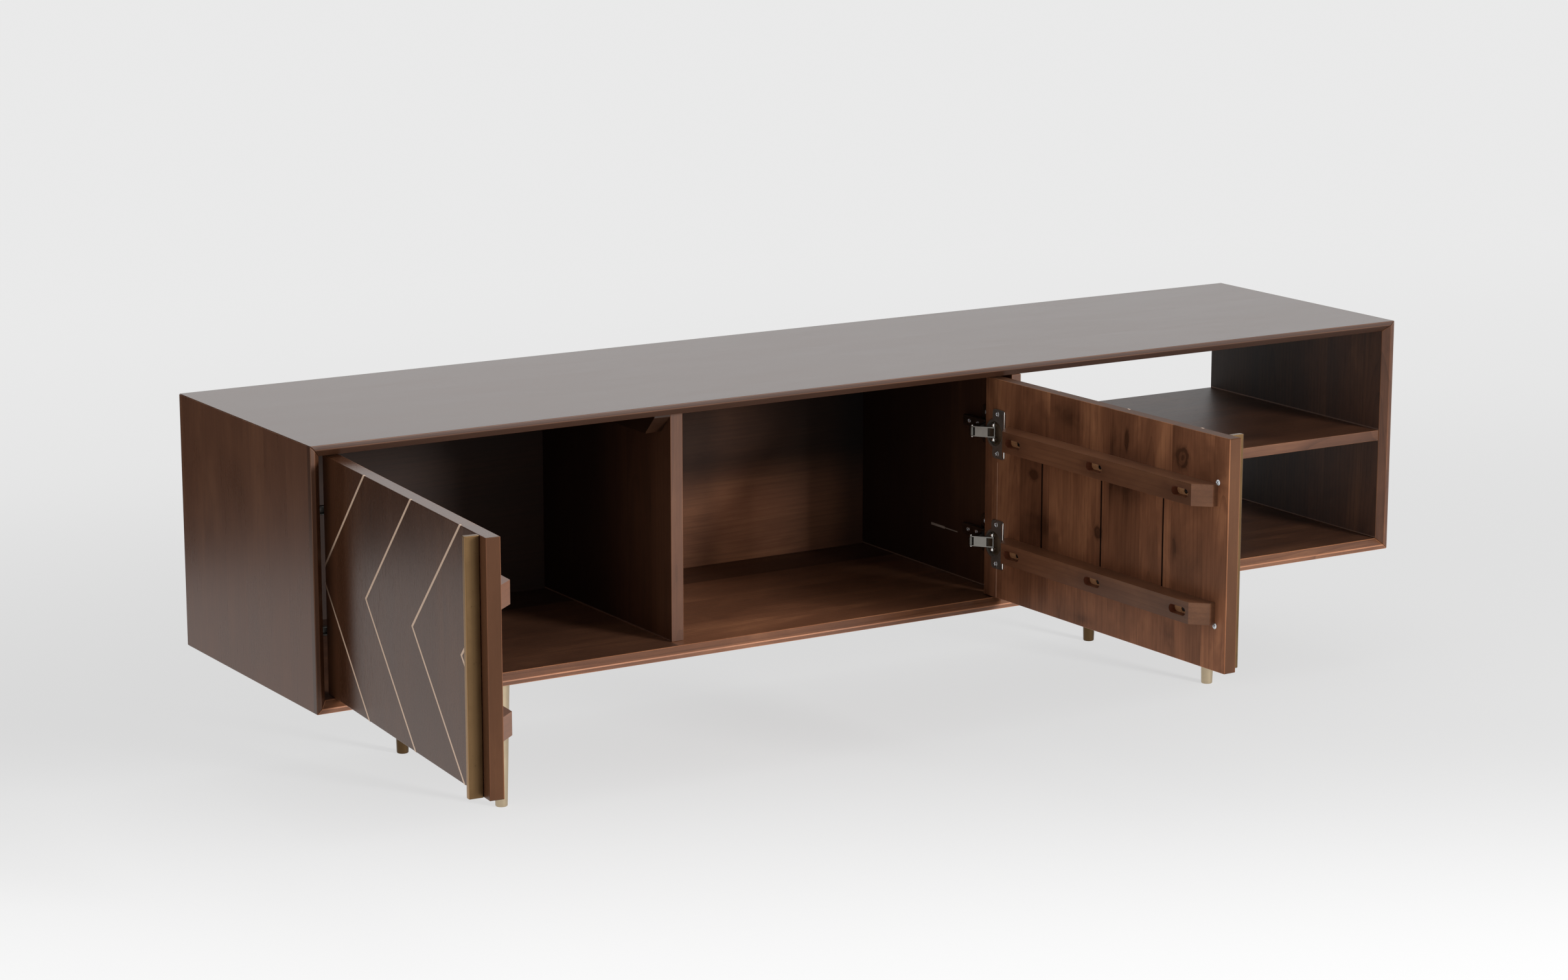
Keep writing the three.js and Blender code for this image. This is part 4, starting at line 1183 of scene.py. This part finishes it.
class CABINET_OT_screws(bpy.types.Operator):
    """Sets the screws of the hinges, battens and pulls"""
    bl_idname = "cabinet.screws"
    bl_label = "Screws"

    # From the hinge edge, proud of the leaf's back, and from the hinge's middle
    CUP = (28 * MM, 1.7 * MM, 27 * MM)
    # Off the wall, behind the plate's front, and from the hinge's middle
    PLATE = (2.5 * MM, 10 * MM, 16 * MM)
    # From the hinge edge, and the two places before the arm's back
    ARM = (9 * MM, (14 * MM, 34 * MM))
    # Proud of the leaf's back, and from the middle of the bar
    PULL = (0.2 * MM, 92 * MM)

    def execute(self, context):
        metal = context.scene.cabinet_metal
        self.zinc = plated("zinc", linear(*metal.zinc), roughness=0.32)
        for side, leaf in LEAVES.items():
            self.set_cup_screws(side, leaf, metal.screw_diameter)
            self.set_plate_screws(side, leaf, metal.screw_diameter)
            self.set_batten_screws(side, leaf, metal.screw_diameter)
            self.set_pull_screws(side, leaf, metal.screw_diameter)
        return {"FINISHED"}

    def head(self, diameter, height):
        """A countersunk head with a cross recess, as rings from its rim to its middle.

        Height over (r, t) is a shallow dome h (1 - 0.7 (r / R)^2), less the recess. The recess
        is the larger of two crossed bars, each a product of smooth steps across its width and
        its length, deepest in the middle.
        """
        radius = diameter / 2
        t = np.linspace(0, 2 * math.pi, 48, endpoint=False)
        r = radius * np.array([1, 1, 0.97, 0.9, 0.8, 0.72, 0.64, 0.56, 0.48, 0.4, 0.3, 0.2, 0.1])
        x, y = r[:, None] * np.cos(t), r[:, None] * np.sin(t)

        def step(value, edge):
            share = np.clip((edge - np.abs(value)) / (0.09 * radius), 0, 1)
            return share * share * (3 - 2 * share)

        wide, long = 0.17 * radius, 0.66 * radius
        bars = np.maximum(step(x, wide) * step(y, long), step(y, wide) * step(x, long))
        dome = height * (1 - 0.7 * (np.hypot(x, y) / radius) ** 2)
        z = dome - bars * height * 1.5
        z[0] = -0.3 * height
        z[1] = 0.2 * height
        return loft(np.stack([x, y, z], axis=-1))

    def set_screws(self, name, body, origins, axis, plating, diameter, height, seed):
        """Screw heads at the origins, their recesses turned at random."""
        rolls = np.random.default_rng(seed).uniform(0, math.pi, len(origins))
        make_copies(name, self.head(diameter, height), origins, [axis] * len(origins), rolls,
                    body, plating)

    def set_on_leaf(self, name, leaf, places, plating, **sizes):
        """Screw heads that face out of the leaf's back."""
        self.set_screws(name, leaf.body, leaf.places(places), leaf.directions([0, 1, 0]),
                        plating, **sizes)

    def set_cup_screws(self, side, leaf, diameter):
        """A screw in each wing of a cup's flange."""
        inset, proud, rise = self.CUP
        places = [(inset, leaf.thickness + proud, middle + way * rise)
                  for _, _, middle in at_levels("hinge_cup", side, leaf.node_box)
                  for way in (1, -1)]
        self.set_on_leaf(f"cup_screws_{side}", leaf, places, self.zinc, diameter=diameter,
                         height=0.9 * MM, seed=11)

    def set_plate_screws(self, side, leaf, diameter):
        """Two screws in the wings of each mounting plate, and two down the arm on it."""
        inwards = (leaf.hand, 0, 0)
        off, back, rise = self.PLATE
        wings = []
        for low, high, middle in at_levels("hinge_plate", side):
            wall = low[0] if leaf.hand > 0 else high[0]
            wings += [(wall + leaf.hand * off, low[1] + back, middle + way * rise)
                      for way in (1, -1)]
        self.set_screws(f"plate_screws_{side}", "carcass", wings, inwards, self.zinc,
                        diameter=diameter, height=0.9 * MM, seed=12)
        inset, fronts = self.ARM
        arms = [(leaf.along(inset), high[1] - front, middle)
                for _, high, middle in at_levels("hinge_arm", side) for front in fronts]
        self.set_screws(f"arm_screws_{side}", "carcass", arms, inwards, self.zinc,
                        diameter=diameter * 0.85, height=0.8 * MM, seed=13)

    def set_batten_screws(self, side, leaf, diameter):
        """A screw on the floor of each pocket."""
        sunk = POCKET_DEPTH + 1.2 * MM
        # Dark steel, painted near black as well for the shade deep in the pockets
        black = plated("blackened_steel", linear(60, 58, 56), roughness=0.4)
        places = [(u, high[1] - sunk, middle)
                  for low, high, middle in at_levels("batten", side, leaf.node_box)
                  for u in across_batten(low, high)]
        self.set_on_leaf(f"batten_screws_{side}", leaf, places, black, diameter=diameter,
                         height=1.0 * MM, seed=14)

    def set_pull_screws(self, side, leaf, diameter):
        """The two screws that hold the pull bar, which come through from the leaf's back."""
        low, high = leaf.node_box(f"pull_{side}")
        proud, rise = self.PULL
        places = [((low[0] + high[0]) / 2, leaf.thickness + proud, leaf.height / 2 + way * rise)
                  for way in (-1, 1)]
        self.set_on_leaf(f"pull_screws_{side}", leaf, places, self.zinc, diameter=diameter,
                         height=2.2 * MM, seed=15)


class CABINET_OT_stage(bpy.types.Operator):
    """Sets the floor, the lamps, the world and the camera"""
    bl_idname = "cabinet.stage"
    bl_label = "Studio"

    # Where each lamp stands, where it looks, and its diameter
    LAMPS = {"key": ((1.9, -4.6, 1.65), (0.0, 0.1, 0.3), 1.2),
             "overhead": ((0.0, 0.0, 3.4), (0.0, 0.0, 0.0), 2.6)}

    def execute(self, context):
        stage = context.scene.cabinet_stage
        self.make_floor(stage)
        self.make_flag()
        self.make_world(stage)
        for name, (at, towards, size) in self.LAMPS.items():
            self.add_lamp(f"{name}_lamp", at, towards, size, getattr(stage, name))
        camera = bpy.data.cameras.new("camera")
        camera.lens = stage.lens
        camera.sensor_width = 36.0
        camera.sensor_fit = "HORIZONTAL"
        camera.clip_end = 200.0
        eye = put_in_scene("camera", camera)
        eye.location = stage.eye
        eye.rotation_euler = (math.pi / 2 - stage.pitch, 0, -stage.bearing)
        context.scene.camera = eye
        context.scene.view_settings.view_transform = "Standard"
        return {"FINISHED"}

    def make_floor(self, stage):
        """A flat disc: (R s cos t, R s sin t, 0), its rings closer together in the middle."""
        radius = 60.0
        t = np.linspace(0, 2 * math.pi, 64, endpoint=False)
        s = np.array([1.0, 0.5, 0.2, 0.05])[:, None]
        rings = np.stack([radius * s * np.cos(t), radius * s * np.sin(t), 0 * s * t], axis=-1)
        index, walls = walls_between(rings)
        mesh = make_mesh("floor", rings.reshape(-1, 3), [walls, index[-1:]])

        def make(r):
            x, y, _ = r.place()
            # What the camera and gloss see is mostly a glow, painted darker round and behind the
            # cabinet as its soft shadow, and a little darker far behind it
            white, shade, far_falloff = ((tone, tone, tone, 1.0) for tone in (1.0, 0.74, 0.82))
            nearer = x * -math.sin(stage.bearing) - y * math.cos(stage.bearing)
            away = (x * x * 0.36 + y * y).root()
            near = r.mix(nearer.between(-0.2, 1.0), shade, white)
            far = r.mix(nearer.between(0.2, 0.8), far_falloff, white)
            tone = r.mix(away.between(0.8, 2.4), near, far)
            seen = r.seen() * (0.8 + away.between(1.0, 4.0) * 0.2)
            lit = r.node("ShaderNodeBsdfDiffuse", {}, {"Color": linear(*stage.floor)})
            glow = r.node("ShaderNodeEmission", {}, {"Color": tone})
            both = r.node("ShaderNodeMixShader", {}, {0: seen, 1: lit, 2: glow})
            r.node("ShaderNodeOutputMaterial", {}, {"Surface": both})

        mesh.materials.append(finish("studio_floor", make))
        floor = put_in_scene("floor", mesh)

    def make_flag(self):
        """An upright dark cloth, seen only in gloss as a painted dark reflection: z straight up
        over a gently bowed line.

        The line is (x0 + 2.4 s, y0 + 1.2 s + 0.2 sin(pi s)), s from 0 to 1.
        """
        stations = 12
        s = np.linspace(0, 1, stations)[:, None]
        x = -3.2 + 2.4 * s
        y = 0.45 + 1.2 * s + 0.2 * np.sin(math.pi * s)
        z = np.array([[0.0, 1.4]])
        grid = np.stack([x + 0 * z, y + 0 * z, z + 0 * s], axis=-1)
        index = np.arange(2 * stations).reshape(stations, 2)
        faces = np.stack([index[:-1, 0], index[1:, 0], index[1:, 1], index[:-1, 1]], axis=-1)
        mesh = make_mesh("flag", grid.reshape(-1, 3), [faces])

        def make(r):
            weave = r.noise(r.vector(*r.place()), 300.0, 2.0)
            cloth = r.ramp(weave, (0.3, linear(20, 20, 20)), (0.7, linear(34, 34, 34)))
            r.surface(Base_Color=cloth, Roughness=0.95)

        mesh.materials.append(finish("flag_cloth", make))
        flag = put_in_scene("flag", mesh)
        flag.visible_camera = False
        flag.visible_diffuse = False
        flag.visible_shadow = False
        flag.visible_transmission = False

    def make_world(self, stage):
        """The dome lights evenly, and the camera and gloss see it pale."""
        backdrop = 0.92
        world = bpy.data.worlds.new("studio")
        bpy.context.scene.world = world
        r = Recipe(world)
        strength = stage.dome + r.seen() * (backdrop - stage.dome)
        light = r.node("ShaderNodeBackground", {}, {"Color": (1, 1, 1, 1), "Strength": strength})
        r.node("ShaderNodeOutputWorld", {}, {"Surface": light})

    def add_lamp(self, name, at, towards, size, power):
        """A round area lamp that looks from one place towards another."""
        lamp = bpy.data.lights.new(name, "AREA")
        lamp.shape = "DISK"
        lamp.size = size
        lamp.energy = power
        holder = put_in_scene(name, lamp)
        holder.location = at
        aim = np.array(towards) - np.array(at)
        bearing = math.atan2(aim[0], aim[1])
        tilt = math.atan2(math.hypot(aim[0], aim[1]), -aim[2])
        holder.rotation_euler = (tilt, 0, -bearing)


class CABINET_PT_panel(bpy.types.Panel):
    """The cabinet's steps, in the order in which they are run"""
    bl_idname = "CABINET_PT_panel"
    bl_label = "Media Cabinet"
    bl_space_type = "VIEW_3D"
    bl_region_type = "UI"
    bl_category = "Cabinet"

    def draw(self, context):
        for group in GROUPS:
            settings = getattr(context.scene, group)
            box = self.layout.box()
            for key in settings.bl_rna.properties.keys():
                if key not in ("rna_type", "name"):
                    box.prop(settings, key)
        for step in STEPS:
            self.layout.operator(step.bl_idname)


GROUPS = {
    "cabinet_timber": CabinetTimber,
    "cabinet_metal": CabinetMetal,
    "cabinet_stage": CabinetStage,
}
STEPS = (CABINET_OT_boards, CABINET_OT_interior, CABINET_OT_doors, CABINET_OT_brass,
         CABINET_OT_legs, CABINET_OT_hinges, CABINET_OT_screws, CABINET_OT_stage)


def register():
    """Adds the settings, the operators and the panel."""
    for kind in (*GROUPS.values(), *STEPS, CABINET_PT_panel):
        bpy.utils.register_class(kind)
    for name, kind in GROUPS.items():
        setattr(bpy.types.Scene, name, PointerProperty(type=kind))


def unregister():
    """Takes them away again."""
    for name in GROUPS:
        delattr(bpy.types.Scene, name)
    for kind in reversed((*GROUPS.values(), *STEPS, CABINET_PT_panel)):
        bpy.utils.unregister_class(kind)


def main():
    """Dresses the cabinet."""
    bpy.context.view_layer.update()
    register()
    bpy.ops.cabinet.boards()
    bpy.ops.cabinet.interior()
    bpy.ops.cabinet.doors()
    bpy.ops.cabinet.brass()
    bpy.ops.cabinet.legs()
    bpy.ops.cabinet.hinges()
    bpy.ops.cabinet.screws()
    bpy.ops.cabinet.stage()
    bpy.context.view_layer.update()


if __name__ == "__main__":
    main()
